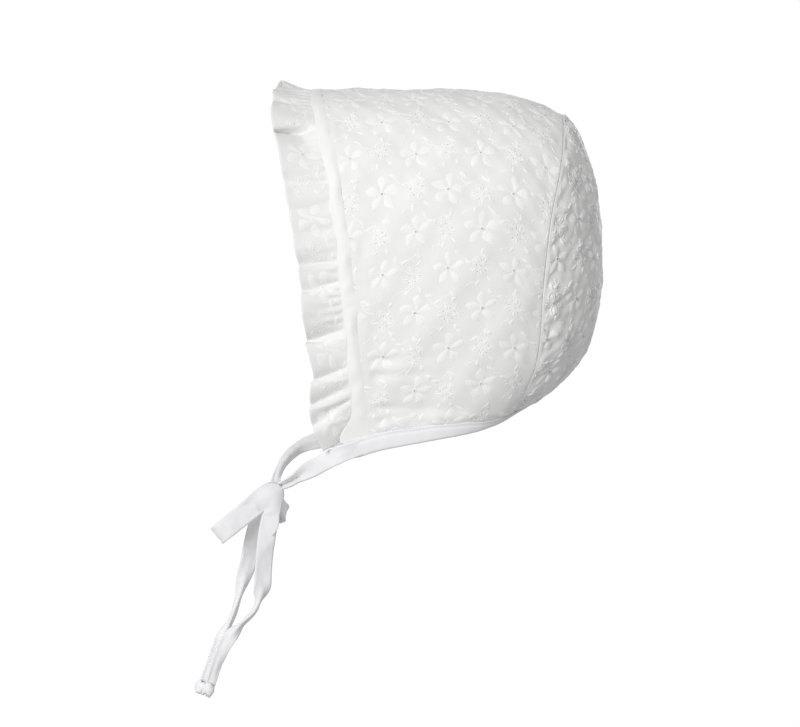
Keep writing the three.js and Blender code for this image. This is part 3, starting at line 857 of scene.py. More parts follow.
def crown_place(around, along, lift):
    """The crown's cloth at a place on its skin."""
    skin = crown_skin(around, along)
    front_back = skin[..., 1]
    way = around * HALF_ARCH
    length = crown_length(around)
    relief = cloth_relief(front_back - CROWN_FLOWER[0], way - CROWN_FLOWER[1])
    for at, lean, deep, wide in CREASES:
        off_line = way - at - np.sign(at) * lean * (front_back - CREASE_START)
        fade = near(front_back - CREASE_START, CREASE_REACH)
        relief = relief - deep * fade * near(off_line, wide)
    to_back = (1.0 - along) * length
    to_band = along * length - BAND_WIDTH
    to_hem = HALF_ARCH - np.abs(way)
    calm = ease(to_back, *CALM_BACK) * ease(to_band, *CALM_BAND) * ease(to_hem, *CALM_HEM)
    dip = SEAM_DIP * near(to_back, SEAM_DIP_REACH) + BAND_SEAT * ease(-to_band, *BAND_SEAT_FROM)
    above = to_hem - binding_leg(along) - HEM_PUFF_AT
    slack = SLACK + SLACK_WAVE * uneven(front_back, *SLACK_SPACING) * np.sign(around)
    puff = HEM_PUFF * slack * near(above, HEM_PUFF_REACH)
    puff = puff * ease(to_back, *PUFF_BACK) * ease(to_band, *PUFF_BAND)
    return off_crown(around, along, relief * calm + puff - dip + lift)


def crown_spot(front_back, way):
    """The place on the crown's skin of a flat point."""
    around = way / HALF_ARCH
    along = np.full_like(around, 0.5)
    for _ in range(SPOT_ROUNDS):
        start = crown_skin(around, along)[..., 1]
        span = crown_length(around)
        along = np.clip(along + (front_back - start) / span, *SPOT_LIMITS)
    return around, along


def crown_flat(front_back, way, lift):
    """The crown's cloth at a flat point, lifted off its outer face."""
    around, along = crown_spot(front_back, way)
    return crown_place(around, along, lift)


side_flower = crown_flat(np.array(CROWN_FLOWER[:1]), np.array(CROWN_FLOWER[1:]), np.zeros(1))
print("a flower of the side lies at", np.round(side_flower, 1))

# %% The crown's cloth
CROWN_CELLS = (340, 96)
UNDER_BAND = 1.8
EVEN_SHARE = 0.6


def lay_cloth(name, bm, points, across, along, material, thickness, offset=-1.0):
    """Carries a flat grid to its place round the head and gives it its thickness."""
    put_vertices(bm, points)
    put_uvs(bm, across, along)
    face_outwards(bm, HEAD_CENTRE)
    piece = object_from(name, bm, [material])
    thicken(piece, thickness, offset)
    return piece


def crown_cloth():
    bm, u, v = unit_square(*CROWN_CELLS)
    around = u * 2 - 1
    way = around * HALF_ARCH
    start = (BAND_WIDTH - UNDER_BAND) / crown_length(around)
    dense_ends = EVEN_SHARE * v + (1.0 - EVEN_SHARE) / 2 * (1.0 - np.cos(math.pi * v))
    points = crown_place(around, blend(start, 1.0, dense_ends), np.zeros_like(u))
    return lay_cloth("crown_cloth", bm, points, way, points[:, 1], PANEL_COTTON, CLOTH_THICK)


crown = crown_cloth()
print("crown cloth:", len(crown.data.polygons), "faces")

# %% [markdown]
# ## The back panel
# The back is a horseshoe of the same cloth, sewn to the crown all round. The seam allowances are
# pressed backwards, so an uneven ridge runs just behind the seam, and the sewing pulls small
# creases out of it. The flat coordinates are millimetres across from the middle and millimetres
# down the mid-line. The way across is found by halving an interval until the arc has the right
# length.

# %% The back's placing function
BACK_TOP = 0.05
BACK_BOTTOM = 0.985
RIDGE_HEIGHT = 0.26
RIDGE_AT = 1.2
RIDGE_REACH = 0.8
RIDGE_LEAST = 0.15
RIDGE_LUMPS = (3.7, 9.1)
RIDGE_GRAIN = 0.3
RIDGE_GRAIN_LENGTH = 0.8
RIDGE_STRAY = [(0.5, 5.3, 0.0), (0.3, 2.1, 1.0)]
RIDGE_TOP = (45.0, 80.0)
RIDGE_LOW = (25.0, 60.0)
BACK_CALM_SEAM = (1.0, 6.0)
BACK_CALM_NECK = (0.0, 9.0)
BACK_RELIEF = 0.9
BACK_PULL = 0.45
PULL_REACH = 15.0
PULL_SPACING = (1.9, 1.5, 8.0)
PULL_SLANT = 6.0
PULL_PUCKER = 0.6
PUCKER_ACROSS = (1.3, 2.0, 4.1)
PUCKER_DOWN = (1.7, 1.5, 5.0)
PULL_SEAM = (1.0, 3.0)
PULL_NECK = (4.0, 12.0)
OFF_MIDDLE = (0.1, 0.5)
MIDDLE_LIFT = 0.45
NAPE_TUCK = 0.8
NAPE_TUCK_FROM = (-24.0, -3.0)
HALVINGS = 18
FARTHEST = 1.15
ARC_SAMPLES = np.linspace(0.0, 1.0, 9)
down_steps = np.linspace(0.0, 1.0, 400)
mid_line = back_skin(np.zeros_like(down_steps), down_steps)
mid_way = line_way(mid_line)


def back_arc(across, down):
    """Length of cloth from the mid-line out to a place on the back."""
    edge = crown_skin(down, np.ones_like(down))
    behind = BACK_LINE.read("y", down) - edge[..., 1]
    bulge = np.hypot(behind, BACK_LINE.read("z", down) - edge[..., 2])
    total = np.zeros_like(down)
    for sample in ARC_SAMPLES:
        angle = across * sample * BACK_TURN
        sideways = edge[..., 0] * np.cos(angle) / math.sin(BACK_TURN)
        backwards = bulge * np.sin(angle) / (1.0 - math.cos(BACK_TURN))
        total = total + np.hypot(sideways, backwards)
    return across * BACK_TURN * total / len(ARC_SAMPLES)


def back_place(across, down, lift):
    """The back's cloth at a place on its skin."""
    a = back_arc(across, np.clip(down, 0.0, 1.0))
    b = np.interp(down, down_steps, mid_way)
    to_seam = back_arc(np.ones_like(down), np.clip(down, 0.0, 1.0)) - np.abs(a)
    to_neck = (1.0 - down) * mid_way[-1]
    calm = ease(to_seam, *BACK_CALM_SEAM) * ease(to_neck, *BACK_CALM_NECK)
    slow, slower = RIDGE_LUMPS
    lumps = 0.5 + 0.5 * np.sin(b / slow) * np.sin(b / slower + np.sign(a))
    lumps = lumps + RIDGE_GRAIN * np.sin(b / RIDGE_GRAIN_LENGTH)
    lumps = lumps * blend(RIDGE_LEAST, 1.0, ease(b, *RIDGE_TOP) * ease(to_neck, *RIDGE_LOW))
    stray = RIDGE_AT + waves(b, RIDGE_STRAY)
    ridge = RIDGE_HEIGHT * lumps * near(to_seam - stray, RIDGE_REACH)
    pull = uneven(b, *PULL_SPACING, to_seam / PULL_SLANT) * near(to_seam, PULL_REACH)
    pucker = crossed(a, b, *PUCKER_ACROSS) * crossed(b, a, *PUCKER_DOWN)
    fold = BACK_PULL * (pull + PULL_PUCKER * pucker) * ease(to_seam, *PULL_SEAM)
    fold = fold * ease(to_neck, *PULL_NECK) * ease(np.abs(across), *OFF_MIDDLE)
    dip = SEAM_DIP * near(to_seam, SEAM_DIP_REACH)
    tuck = NAPE_TUCK * (1.0 - across**2) * ease(-to_neck, *NAPE_TUCK_FROM)
    relief = BACK_RELIEF * cloth_relief(a, b) * calm + ridge + fold - dip - tuck
    return off_back(across, down, relief + lift)


def back_spot(a, b):
    """The place on the back's skin of a flat point."""
    down = np.maximum(np.interp(b, mid_way, down_steps), BACK_TOP)
    low = np.zeros_like(down)
    high = np.full_like(down, FARTHEST)
    for _ in range(HALVINGS):
        middle = (low + high) / 2
        short = back_arc(middle, down) < np.abs(a)
        low = np.where(short, middle, low)
        high = np.where(short, high, middle)
    return np.sign(a) * (low + high) / 2, down


def back_flat(a, b, lift):
    """The back's cloth at a flat point, lifted off its outer face, less so in the middle."""
    across, down = back_spot(a, b)
    full = blend(MIDDLE_LIFT, 1.0, ease(np.abs(across), *OFF_MIDDLE))
    return back_place(across, down, lift * full)


print("back mid-line:", round(float(mid_way[-1]), 1), "mm")

# %% The back's cloth
BACK_CELLS = (130, 150)
EVEN_ACROSS = 0.5


def back_cloth():
    bm, u, v = unit_square(*BACK_CELLS)
    dense_sides = np.sin((u - 0.5) * math.pi)
    across = EVEN_ACROSS * (2 * u - 1) + (1.0 - EVEN_ACROSS) * dense_sides
    down = blend(BACK_TOP, BACK_BOTTOM, v)
    points = back_place(across, down, np.zeros_like(u))
    way = np.interp(down, down_steps, mid_way)
    arc = back_arc(across, down)
    return lay_cloth("back_cloth", bm, points, arc, way, PANEL_COTTON, CLOTH_THICK)


back = back_cloth()
print("back cloth:", len(back.data.polygons), "faces")

# %% [markdown]
# ## The puffed band
# A plain strip sits between the crown and the ruffle. It is sewn down on both edges and stands
# up a little between them. Its edges wander and the gathers on either side pucker it, so it reads
# as a soft bright line and not as a tube. At its lower ends it widens under the ruffle's corner.

# %% The band
BAND_PUFF = 0.5
BAND_ROUND = 1.3
BAND_FLARE = 6.5
BAND_SHORT = 0.022
BAND_FLARE_FROM = 179.0
PUFF_ENDS = (0.05, 0.14)
PUFF_TOP = (30.0, 110.0)
PUFF_AT_TOP = 0.35
PUFF_LEAST = 0.12
BAND_LUMPS = 0.55
LUMP_SPACING = (3.4, 1.4, 9.0)
LUMP_LENGTH = 8.3
LUMP_SLANT = 2.0
BAND_GATHERS = 0.22
BAND_GATHER_SPACING = (1.2, 2.0, 7.0)
BAND_GATHER_SLANT = 1.5
BAND_GATHER_SWELL = (17.0, 0.4, 1.0)
BAND_GATHERS_FADE = 0.6
FRONT_STRAY = 0.5
FRONT_SPACING = (5.3, 1.0, 13.0)
REAR_STRAY = 0.8
REAR_SPACING = (6.7, 2.0, 19.0)
REAR_PUCKER = 0.4
REAR_PUCKER_LENGTH = 2.3
PRESSED = 0.16
PRESSED_REACH = 0.14
BAND_CELLS = (520, 18)


def band_cloth():
    bm, u, v = unit_square(*BAND_CELLS)
    around = u * 2 - 1
    way = around * HALF_ARCH
    over_head = blend(PUFF_AT_TOP, 1.0, ease(np.abs(way), *PUFF_TOP))
    full = ease(1.0 - np.abs(around), *PUFF_ENDS) * over_head
    lumps = uneven(way, *LUMP_SPACING) * np.sin(way / LUMP_LENGTH + LUMP_SLANT * v)
    gathers = uneven(way, *BAND_GATHER_SPACING, BAND_GATHER_SLANT * v)
    gathers = gathers * come_and_go(way, *BAND_GATHER_SWELL)
    rough = 1.0 + BAND_LUMPS * lumps + BAND_GATHERS * gathers * (1.0 - BAND_GATHERS_FADE * v)
    bow = np.maximum(np.sin(math.pi * v), 0.0) ** BAND_ROUND
    puff = (BAND_PUFF * full + PUFF_LEAST) * bow * rough
    lower_end = ease(np.abs(way), BAND_FLARE_FROM, HALF_ARCH)
    around = around * (1.0 - BAND_SHORT * (1.0 - v) * lower_end)
    front = FRONT_STRAY * uneven(way, *FRONT_SPACING) - BAND_FLARE * lower_end
    rear = REAR_STRAY * uneven(way, *REAR_SPACING)
    rear = rear + REAR_PUCKER * np.sin(way / REAR_PUCKER_LENGTH)
    reach = v * BAND_WIDTH + blend(front, rear, v)
    pressed = PRESSED * near(1.0 - v, PRESSED_REACH)
    points = off_crown(around, reach / crown_length(around), puff - pressed)
    return lay_cloth("band_cloth", bm, points, way, v * BAND_WIDTH, BAND_COTTON, CLOTH_THICK)


band = band_cloth()
print("band cloth:", len(band.data.polygons), "faces")

# %% [markdown]
# ## The face ruffle
# The ruffle is a strip gathered into the band. Its folds are hollows of different depth at set
# places along the seam, narrow at the seam and wide at the free edge. Each hollow draws the edge
# back a little, which gives the wavy outline, and the lip of one side slides over it. Some slant
# on their way to the seam. Towards the chin they run together, so the lower end opens like a fan.
# Close to the seam many small gathers run into those few folds. On the left a broad fold under
# the top ends in a ridge, with a slack pocket below it. The hollows of the right side come in
# the other order and are a little shallower.

# %% Folds of the ruffle
RUFFLE_WIDTH = 18.8
RUFFLE_THICK = 0.7
RUFFLE_END = 191.6
FAN_FROM = 150.0
FAN_ROOT = 0.5
FAN_EDGE = 5.4
FAN_OPENS = 0.7
RUFFLE_FOLD = 1.25
TOP_AT = -6.0
TOP_REACH = 6.5
# Way along the seam, depth, width, slide of the lip and slant of a hollow
HOLLOWS = [
    (5, 1.4, 5.0, 0.0, 0.0),
    (15, 2.0, 7.0, 0.0, 0.0),
    (33, 1.0, 4.5, 0.8, 0.0),
    (49.4, 2.8, 4.0, 5.5, 0.0),
    (76, 2.0, 5.0, 1.5, 0.0),
    (88, 2.0, 5.0, -1.5, 0.0),
    (98, 1.8, 4.5, 1.0, 0.0),
    (112, 3.0, 4.5, -3.0, -1.5),
    (123, 3.0, 4.5, -3.0, -3.0),
    (145, 5.0, 6.5, -6.0, -4.0),
    (161, 3.2, 4.5, -3.0, -3.0),
    (172, 3.0, 4.0, -2.5, -5.0),
    (181, 2.6, 3.4, -1.5, -8.0),
]
HOLLOW_NARROW = 0.45
HOLLOW_POWER = 1.5
LIP_REACH = 0.65
RIGHT_SHARE = 0.7
POCKET_DEEP = 3.4
POCKET_FROM = (46.0, 49.0)
POCKET_TO = (49.0, 66.0)
POCKET_SLANT = 5.0
POCKET_ROWS = (0.0, 0.42)
POCKET_FADE = 0.5
TOP_FOLD_HIGH = 1.0
TOP_FOLD_AT = 44.4
TOP_FOLD_REACH = 2.3


def fold_side(way):
    """The way counted along one side's folds: the right side takes them in the other order."""
    return np.where(way >= 0, way, way + HALF_ARCH)


def over_top(way):
    """1 on the fold that stands up just beyond the crown's top, 0 away from it."""
    return near(way - TOP_AT, TOP_REACH)


def ruffle_hollow(way, row):
    """How deep the folds sink, for a row from 0 at the seam to 1 at the free edge."""
    side = fold_side(way)
    narrow = blend(HOLLOW_NARROW, 1.0, row)
    depth = np.zeros_like(way)
    for at, deep, wide, _, slant in HOLLOWS:
        off_line = side - at - slant * (1.0 - row)
        depth = depth + deep * np.exp(-(np.abs(off_line / (wide * narrow)) ** HOLLOW_POWER))
    return RUFFLE_FOLD * depth * (1.0 - over_top(way)) * np.where(way < 0, RIGHT_SHARE, 1.0)


def ruffle_pocket(way, row):
    """How deep the slack below the broad top fold sinks, less the ridge that ends the fold."""
    floor = ease(way, *POCKET_FROM) * (1.0 - ease(way - POCKET_SLANT * (1.0 - row), *POCKET_TO))
    ridge = TOP_FOLD_HIGH * row * near(way - TOP_FOLD_AT, TOP_FOLD_REACH)
    return -ridge + POCKET_DEEP * floor * ease(row, *POCKET_ROWS) * (1.0 - POCKET_FADE * row)


def ruffle_slide(way):
    """How far the lip of each fold slides over its hollow, along the seam."""
    side = fold_side(way)
    slide = np.zeros_like(way)
    for at, _, wide, lip, _ in HOLLOWS:
        crest = at - math.copysign(wide, lip)
        slide = slide + lip * near(side - crest, LIP_REACH * wide)
    return slide * (1.0 - over_top(way)) * np.where(way < 0, RIGHT_SHARE, 1.0)


def ruffle_fan(way, row):
    """Where along the seam's line a point of the ruffle stands: the folds fan out downwards."""
    far = np.abs(way)
    root = far - FAN_ROOT * ease(far, FAN_FROM, RUFFLE_END)
    edge = far + FAN_EDGE * (far / RUFFLE_END) ** 2
    return np.sign(way) * blend(root, edge, row**FAN_OPENS)


print("hollows on each side:", len(HOLLOWS))

# %% The ruffle's placing function
RUFFLE_TUCKED = 0.8
RUFFLE_CREST = 1.6
RUFFLE_FLARE = 2.0
RUFFLE_STAND = 3.4
RUFFLE_SCALLOP = 0.3
RUFFLE_RISE = 1.1
RUFFLE_SINK = 0.55
RUFFLE_MIDDLE = 0.4
RUFFLE_TIP = 0.28
RUFFLE_TIP_AT = 0.0
RUFFLE_TIP_REACH = 11.0
EDGE_LINE = Table(
    "extra",
    [
        (-200, 0.0),
        (0, -0.6),
        (16, -1.0),
        (32, -0.9),
        (45, 1.0),
        (50, 1.0),
        (58, 0.6),
        (72, 1.3),
        (92, 0.7),
        (106, 0.0),
        (138, -0.3),
        (149, 0.6),
        (157, -2.2),
        (164, -1.2),
        (172, 0.0),
        (200, 0.0),
    ],
)
RUFFLE_CORNER = 0.2
RUFFLE_CORNER_FROM = 176.0
GATHER_HEIGHT = 0.7
GATHER_SPACING = (0.62, 1.7, 5.1)
GATHER_SWELL = (8.7, 0.4)
GATHER_FADE = 3.0
GATHER_ROWS = (0.02, 0.16)
GATHERS_END = (145.0, 178.0)
GATHERS_REST = (46.0, 50.0)
GATHERS_AGAIN = (-70.0, -62.0)
GATHERS_LOST = 0.8
RUFFLE_LEAN = 0.9
SOFT_WAVE = 0.2
SOFT_WAVE_LENGTH = 2.3
SOFT_WAVE_SLANT = 3.0
SOFT_RIPPLE = 0.14
SOFT_RIPPLE_SPACING = (1.4, 1.0, 9.0)
SOFT_RIPPLE_SLANT = -5.0
RUFFLE_PROBE = 0.25
END_TUCK = 2.6
END_TUCK_FROM = 181.0
END_TUCK_EASE = 0.3
END_TUCK_POWER = 0.12
ROOT_SINK = 1.6
ROOT_SINK_FADE = 4.0
ROOT_SINK_FROM = (170.0, 182.0)


def ruffle_skin(way, reach):
    """The ruffle's middle surface: way along its seam, reach out from it."""
    row = np.clip(reach / RUFFLE_WIDTH, 0.0, 1.0)
    far = np.abs(way)
    hollow = ruffle_hollow(way, row)
    tip = 1.0 - RUFFLE_TIP * near(way - RUFFLE_TIP_AT, RUFFLE_TIP_REACH)
    corner = 1.0 - RUFFLE_CORNER * ease(far, RUFFLE_CORNER_FROM, RUFFLE_END) ** 2
    wide = RUFFLE_WIDTH + EDGE_LINE.read("extra", way) - RUFFLE_SCALLOP * hollow
    lean = RUFFLE_LEAN * BAND_FLARE * ease(far, BAND_FLARE_FROM, HALF_ARCH)
    out = row * wide * tip * corner + (lean - RUFFLE_TUCKED) * (1.0 - row)
    gathers = uneven(way, *GATHER_SPACING) * come_and_go(way, *GATHER_SWELL)
    in_pocket = ease(way, *GATHERS_REST) * ease(-way, *GATHERS_AGAIN)
    fading = 1.0 - GATHERS_LOST * np.maximum(ease(far, *GATHERS_END), in_pocket)
    fine = GATHER_HEIGHT * fading * gathers * np.exp(-row * GATHER_FADE) * ease(row, *GATHER_ROWS)
    soft = SOFT_WAVE * np.sin(way / SOFT_WAVE_LENGTH + SOFT_WAVE_SLANT * row)
    soft = soft + SOFT_RIPPLE * uneven(way, *SOFT_RIPPLE_SPACING, SOFT_RIPPLE_SLANT * row)
    stand = blend(RUFFLE_CREST, RUFFLE_STAND, over_top(way))
    rise = row**RUFFLE_RISE * (stand + RUFFLE_FLARE * row)
    tuck = END_TUCK * ease(far, END_TUCK_FROM, RUFFLE_END)
    tuck = tuck * (1.0 - END_TUCK_EASE * row) * row**END_TUCK_POWER
    crease = ROOT_SINK * ease(far, *ROOT_SINK_FROM) * np.exp(-ROOT_SINK_FADE * row)
    sunk = hollow * row**RUFFLE_SINK + ruffle_pocket(way, row) + tuck + crease
    height = rise - sunk - RUFFLE_MIDDLE + fine + soft * row
    around = (ruffle_fan(way, row) + ruffle_slide(way) * row) / HALF_ARCH
    return off_crown(around, -out / crown_length(np.clip(around, -1.0, 1.0)), height)


def ruffle_flat(way, reach, lift):
    """The ruffle's cloth at a flat point, lifted off its outer face."""
    points = ruffle_skin(way, reach)
    along = ruffle_skin(way + RUFFLE_PROBE, reach) - ruffle_skin(way - RUFFLE_PROBE, reach)
    out = ruffle_skin(way, reach + RUFFLE_PROBE) - ruffle_skin(way, reach - RUFFLE_PROBE)
    normal = unit(np.cross(along, out))
    outward = points - HEAD_CENTRE
    normal *= np.where(np.sum(normal * outward, axis=-1, keepdims=True) < 0, -1.0, 1.0)
    return points + normal * (lift + RUFFLE_THICK / 2)[..., None]


half_way = ruffle_skin(np.array([RUFFLE_END / 2]), np.array([RUFFLE_WIDTH]))
print("the free edge half way down lies at", np.round(half_way, 1))

# %% The ruffle's cloth
RUFFLE_CELLS = (760, 26)


def ruffle_cloth():
    bm, u, v = unit_square(*RUFFLE_CELLS)
    way = (u * 2 - 1) * RUFFLE_END
    reach = v * RUFFLE_WIDTH
    points = ruffle_skin(way, reach)
    return lay_cloth("ruffle_cloth", bm, points, way, reach, PANEL_COTTON, RUFFLE_THICK, 0.0)


ruffle = ruffle_cloth()
print("ruffle cloth:", len(ruffle.data.polygons), "faces")

# %% [markdown]
# ## The neck binding
# A tape is folded lengthways over the raw neck edge and sewn through. Its way runs along the hem
# from the left front corner, round the nape, to the right front corner, and its rise says how far
# up the cloth a point lies: the outside leg, the fold under the edge, then the inside leg.

# %% The binding's placing function
BINDING_FOLD = 1.1
BINDING_WALL = 0.9
BINDING_THICK = 0.5
SEWN_BELOW = 1.3
NAPE_PRESSED = 0.5
NAPE_LIFT = 0.7
CORNER_DROOP = 1.4
CORNER_REACH = 8.0
NAPE_CHANGE = (-4.0, 8.0)
TURN_FROM = 0.44
TURN_TO = 0.56
LEG_PRESSED = 0.72
BINDING_PUCKER = 0.1
BINDING_PUCKER_SPACING = (1.3, 2.5, 9.0)
BINDING_PUCKER_SWELL = (13.0, 0.5)
BINDING_STRAY = [(0.25, 6.1, 0.0), (0.15, 2.7, 1.0)]
SEWN_DEEP = 0.25
SEWN_REACH = 0.6
hem_steps = np.linspace(0.0, 1.0, 200)
side_way = line_way(crown_skin(np.ones_like(hem_steps), hem_steps))
nape_way = line_way(back_skin(1.0 - 2.0 * hem_steps, np.ones_like(hem_steps)))
SIDE_HEM = float(side_way[-1])
NAPE_HEM = float(nape_way[-1])
HEM_LENGTH = 2 * SIDE_HEM + NAPE_HEM


def hem_along(way):
    """How far back a place on the neck edge is, from 0 at the face to 1 at the back seams."""
    return np.interp(np.minimum(way, HEM_LENGTH - way), side_way, hem_steps)


def hem_place(way, rise, depth):
    """A point near the neck edge: way along it, rise up the cloth, depth off the skin."""
    mirrored = way > SIDE_HEM + NAPE_HEM
    along = hem_along(way)
    on_side = off_crown(np.where(mirrored, -1.0, 1.0) * (1.0 - rise / HALF_ARCH), along, depth)
    across = 1.0 - 2.0 * np.interp(way - SIDE_HEM, nape_way, hem_steps)
    on_nape = off_back(across, 1.0 - rise / mid_way[-1], depth - NAPE_TUCK * (1.0 - across**2))
    behind = (way > SIDE_HEM) & (way <= SIDE_HEM + NAPE_HEM)
    return np.where(behind[..., None], on_nape, on_side)


def at_nape(way):
    """1 behind the two back seams, 0 along the sides."""
    nearer_end = np.minimum(way, HEM_LENGTH - way)
    return ease(nearer_end - SIDE_HEM, *NAPE_CHANGE)


def binding_profile(share, wall, full):
    """Rise and depth of the folded tape at a share of its width, outside to inside."""
    outside = 1.0 - share / TURN_FROM
    inside = (share - TURN_TO) / (1.0 - TURN_TO)
    leg = np.clip(np.where(share < 0.5, outside, inside), 0.0, 1.0)
    pressed = wall * (1.0 - LEG_PRESSED * leg**2)
    middle = -CLOTH_THICK / 2
    turn = np.clip((share - TURN_FROM) / (TURN_TO - TURN_FROM), 0.0, 1.0) * math.pi
    depth = middle + (CLOTH_THICK / 2 + pressed) * np.cos(turn)
    return leg * full - BINDING_FOLD * np.sin(turn), depth


def binding_flat(way, share, lift):
    """The binding's tape at a flat point, lifted off its outer face."""
    nape = at_nape(way)
    full = binding_leg(hem_along(way))
    rise, depth = binding_profile(share, BINDING_WALL * blend(1.0, NAPE_PRESSED, nape), full)
    leg = np.clip(rise / full, 0.0, 1.0)
    stray = waves(way, BINDING_STRAY)
    puckers = BINDING_PUCKER * uneven(way, *BINDING_PUCKER_SPACING) * leg
    puckers = puckers * come_and_go(way, *BINDING_PUCKER_SWELL)
    sewn = -SEWN_DEEP * near(full - rise - SEWN_BELOW, SEWN_REACH)
    face = np.where(share < 0.5, 1.0, -1.0)
    corner = near(np.minimum(way, HEM_LENGTH - way), CORNER_REACH)
    up = rise + stray * leg + NAPE_LIFT * nape - CORNER_DROOP * corner
    return hem_place(way, up, depth + face * (puckers + sewn + lift))


print("neck edge:", round(HEM_LENGTH, 1), "mm")

# %% The binding's tape
BINDING_CELLS = (420, 34)
BINDING_TURN = 2.0


def binding_tape():
    bm, u, v = unit_square(*BINDING_CELLS)
    way = u * HEM_LENGTH
    put_vertices(bm, binding_flat(way, v, np.zeros_like(u)))
    put_uvs(bm, way, v * (2 * LEG_FRONT + BINDING_TURN))
    bm.normal_update()
    bmesh.ops.recalc_face_normals(bm, faces=bm.faces[:])
    piece = object_from("binding_tape", bm, [TAPE_COTTON])
    thicken(piece, BINDING_THICK, 0.0)
    return piece


binding = binding_tape()
print("binding tape:", len(binding.data.polygons), "faces")

# %% [markdown]
# ## Embroidery
# One repeat of the pattern is sewn once, flat: a flower of five satin-stitch petals round a
# worked eyelet, a small outlined blossom with buds half a repeat further on, and curling stems
# with leaves between the rows. Each shape is a little grid bent into a pad or a cord with few
# faces, because the repeat is copied more than a hundred times. Copies are joined into one mesh
# for each panel, moved on by the repeat, then carried to their place. What crosses a seam is cut
# off. The crown and the back show the flatter reverse of the stitches on the inside.

# %% Pads and cords of thread
PAD_CELLS = (4, 6)
PAD_SWELL = 1.25
PAD_ROUND = 0.7
PAD_ROOT_WIDTH = 0.12
PAD_ROOT_HEIGHT = 0.1


def flat_stitching():
    """An empty bmesh whose vertices can note where on their thread they are."""
    bm = bmesh.new()
    bm.verts.layers.float_vector.new("thread")
    return bm


def put_thread_uvs(bm):
    """Writes what the vertices noted into the UV map."""
    layer = bm.verts.layers.float_vector["thread"]
    noted = np.array([vert[layer] for vert in bm.verts])
    put_uvs(bm, noted[:, 0], noted[:, 1])


def unit_strip(bm, columns, rows):
    """A new small grid in a bmesh that already holds others, and its shares."""
    made = bmesh.ops.create_grid(bm, x_segments=columns, y_segments=rows, size=0.5)
    flat = np.array([vert.co for vert in made["verts"]])
    return made["verts"], flat[:, 0] * 2, flat[:, 1] + 0.5


def write_strip(bm, verts, points, across, along):
    """Places a strip's vertices and notes how far across and along the thread each one is."""
    layer = bm.verts.layers.float_vector["thread"]
    for vert, point, u, v in zip(verts, points, across, along):
        vert.co = point
        vert[layer] = (u, v, 0.0)


def satin_pad(bm, root, angle, length, width, height):
    """A padded petal or leaf: narrow at its root, round at its tip."""
    verts, across, along = unit_strip(bm, *PAD_CELLS)
    swell = np.maximum(np.sin(math.pi * along**PAD_SWELL), 0.0) ** PAD_ROUND
    half = width / 2 * np.maximum(swell, PAD_ROOT_WIDTH)
    side = half * across
    out = length * along
    dome = np.sqrt(np.maximum(1.0 - across**2, 0.0))
    lift = height * dome * np.maximum(swell, PAD_ROOT_HEIGHT) ** 0.5
    x = root[0] + out * math.cos(angle) - side * math.sin(angle)
    y = root[1] + out * math.sin(angle) + side * math.cos(angle)
    write_strip(bm, verts, np.stack([x, y, lift], axis=-1), side, out)


def thread_cord(bm, line, width, height):
    """A cord of stitches along a line of flat points."""
    line = np.array(line, float)
    verts, across, along = unit_strip(bm, 2, len(line) - 1)
    step = np.rint(along * (len(line) - 1)).astype(int)
    tangent = unit(np.gradient(line, axis=0))[step]
    way = line_way(line)[step]
    side = np.stack([-tangent[:, 1], tangent[:, 0]], axis=-1) * (across * width / 2)[:, None]
    flat = line[step] + side
    lift = height * (1.0 - np.abs(across))
    write_strip(bm, verts, np.column_stack([flat, lift]), across * width / 2, way)


print("satin pads have", PAD_CELLS[0] * PAD_CELLS[1], "faces")

# %% One repeat of the pattern
PETAL_ANGLES = [math.radians(angle) for angle in (-84, -14, 58, 128, 198)]
PETAL = {"length": 6.7, "width": 5.0, "height": 0.34}
PETAL_ROOT = 0.95
EYELET_RADIUS = 0.45
EYELET_CORNERS = 10
EYELET_RING = {"width": 0.8, "height": 0.4}
EYELET_RING_OUT = 0.35
EYELET_RING_STEPS = 12
PINHOLE_RADIUS = 0.24
PINHOLE_CORNERS = 6
PINHOLE_OUT = 2.7
PINHOLE_ANGLES = [math.radians(72 * k + 56) for k in range(5)]
HOLE_LIFT = 0.14
CORD = {"width": 0.85, "height": 0.3}
BLOSSOM_AT = (FLOWER_PITCH / 2, 0.6)
BLOSSOM_ANGLES = [math.radians(72 * k + 20) for k in range(5)]
BLOSSOM_PETAL = (4.2, 1.5)
BLOSSOM_ROOT = 0.7
BLOSSOM_RING = {"width": 0.6, "height": 0.4}
BLOSSOM_RING_RADIUS = 0.55
BLOSSOM_RING_STEPS = 8
BLOSSOM_FILL = {"length": 2.9, "width": 1.7, "height": 0.28}
BLOSSOM_FILL_OUT = 1.6
BUD = {"length": 3.6, "width": 2.1, "height": 0.3}
# Aside, ahead and the way a bud or leaf points, in degrees
BUDS = [(-1.6, 5.4, 108.0), (2.6, 4.6, 52.0), (1.0, -5.2, -66.0)]
STEM_BOW = 0.3
# Start of a stem, its reach across and along, and its curl
STEMS = [
    ((BLOSSOM_AT[0] - 3.4, 5.4), -3.2, 4.6, 1.1),
    ((1.2, 8.2), -5.2, 7.4, 1.6),
    ((9.6, -1.4), -4.0, -5.2, 1.2),
]
LEAF = {"length": 4.4, "width": 2.3, "height": 0.32}
LEAVES = [(-1.0, 10.6, 35.0), (-3.4, 13.6, 170.0), (7.2, -5.6, 215.0)]


def off_centre(centre, angle, out):
    """The flat point that far out from a centre."""
    return centre[0] + out * math.cos(angle), centre[1] + out * math.sin(angle)


def ring(centre, radius, count):
    return [off_centre(centre, 2 * math.pi * i / count, radius) for i in range(count + 1)]


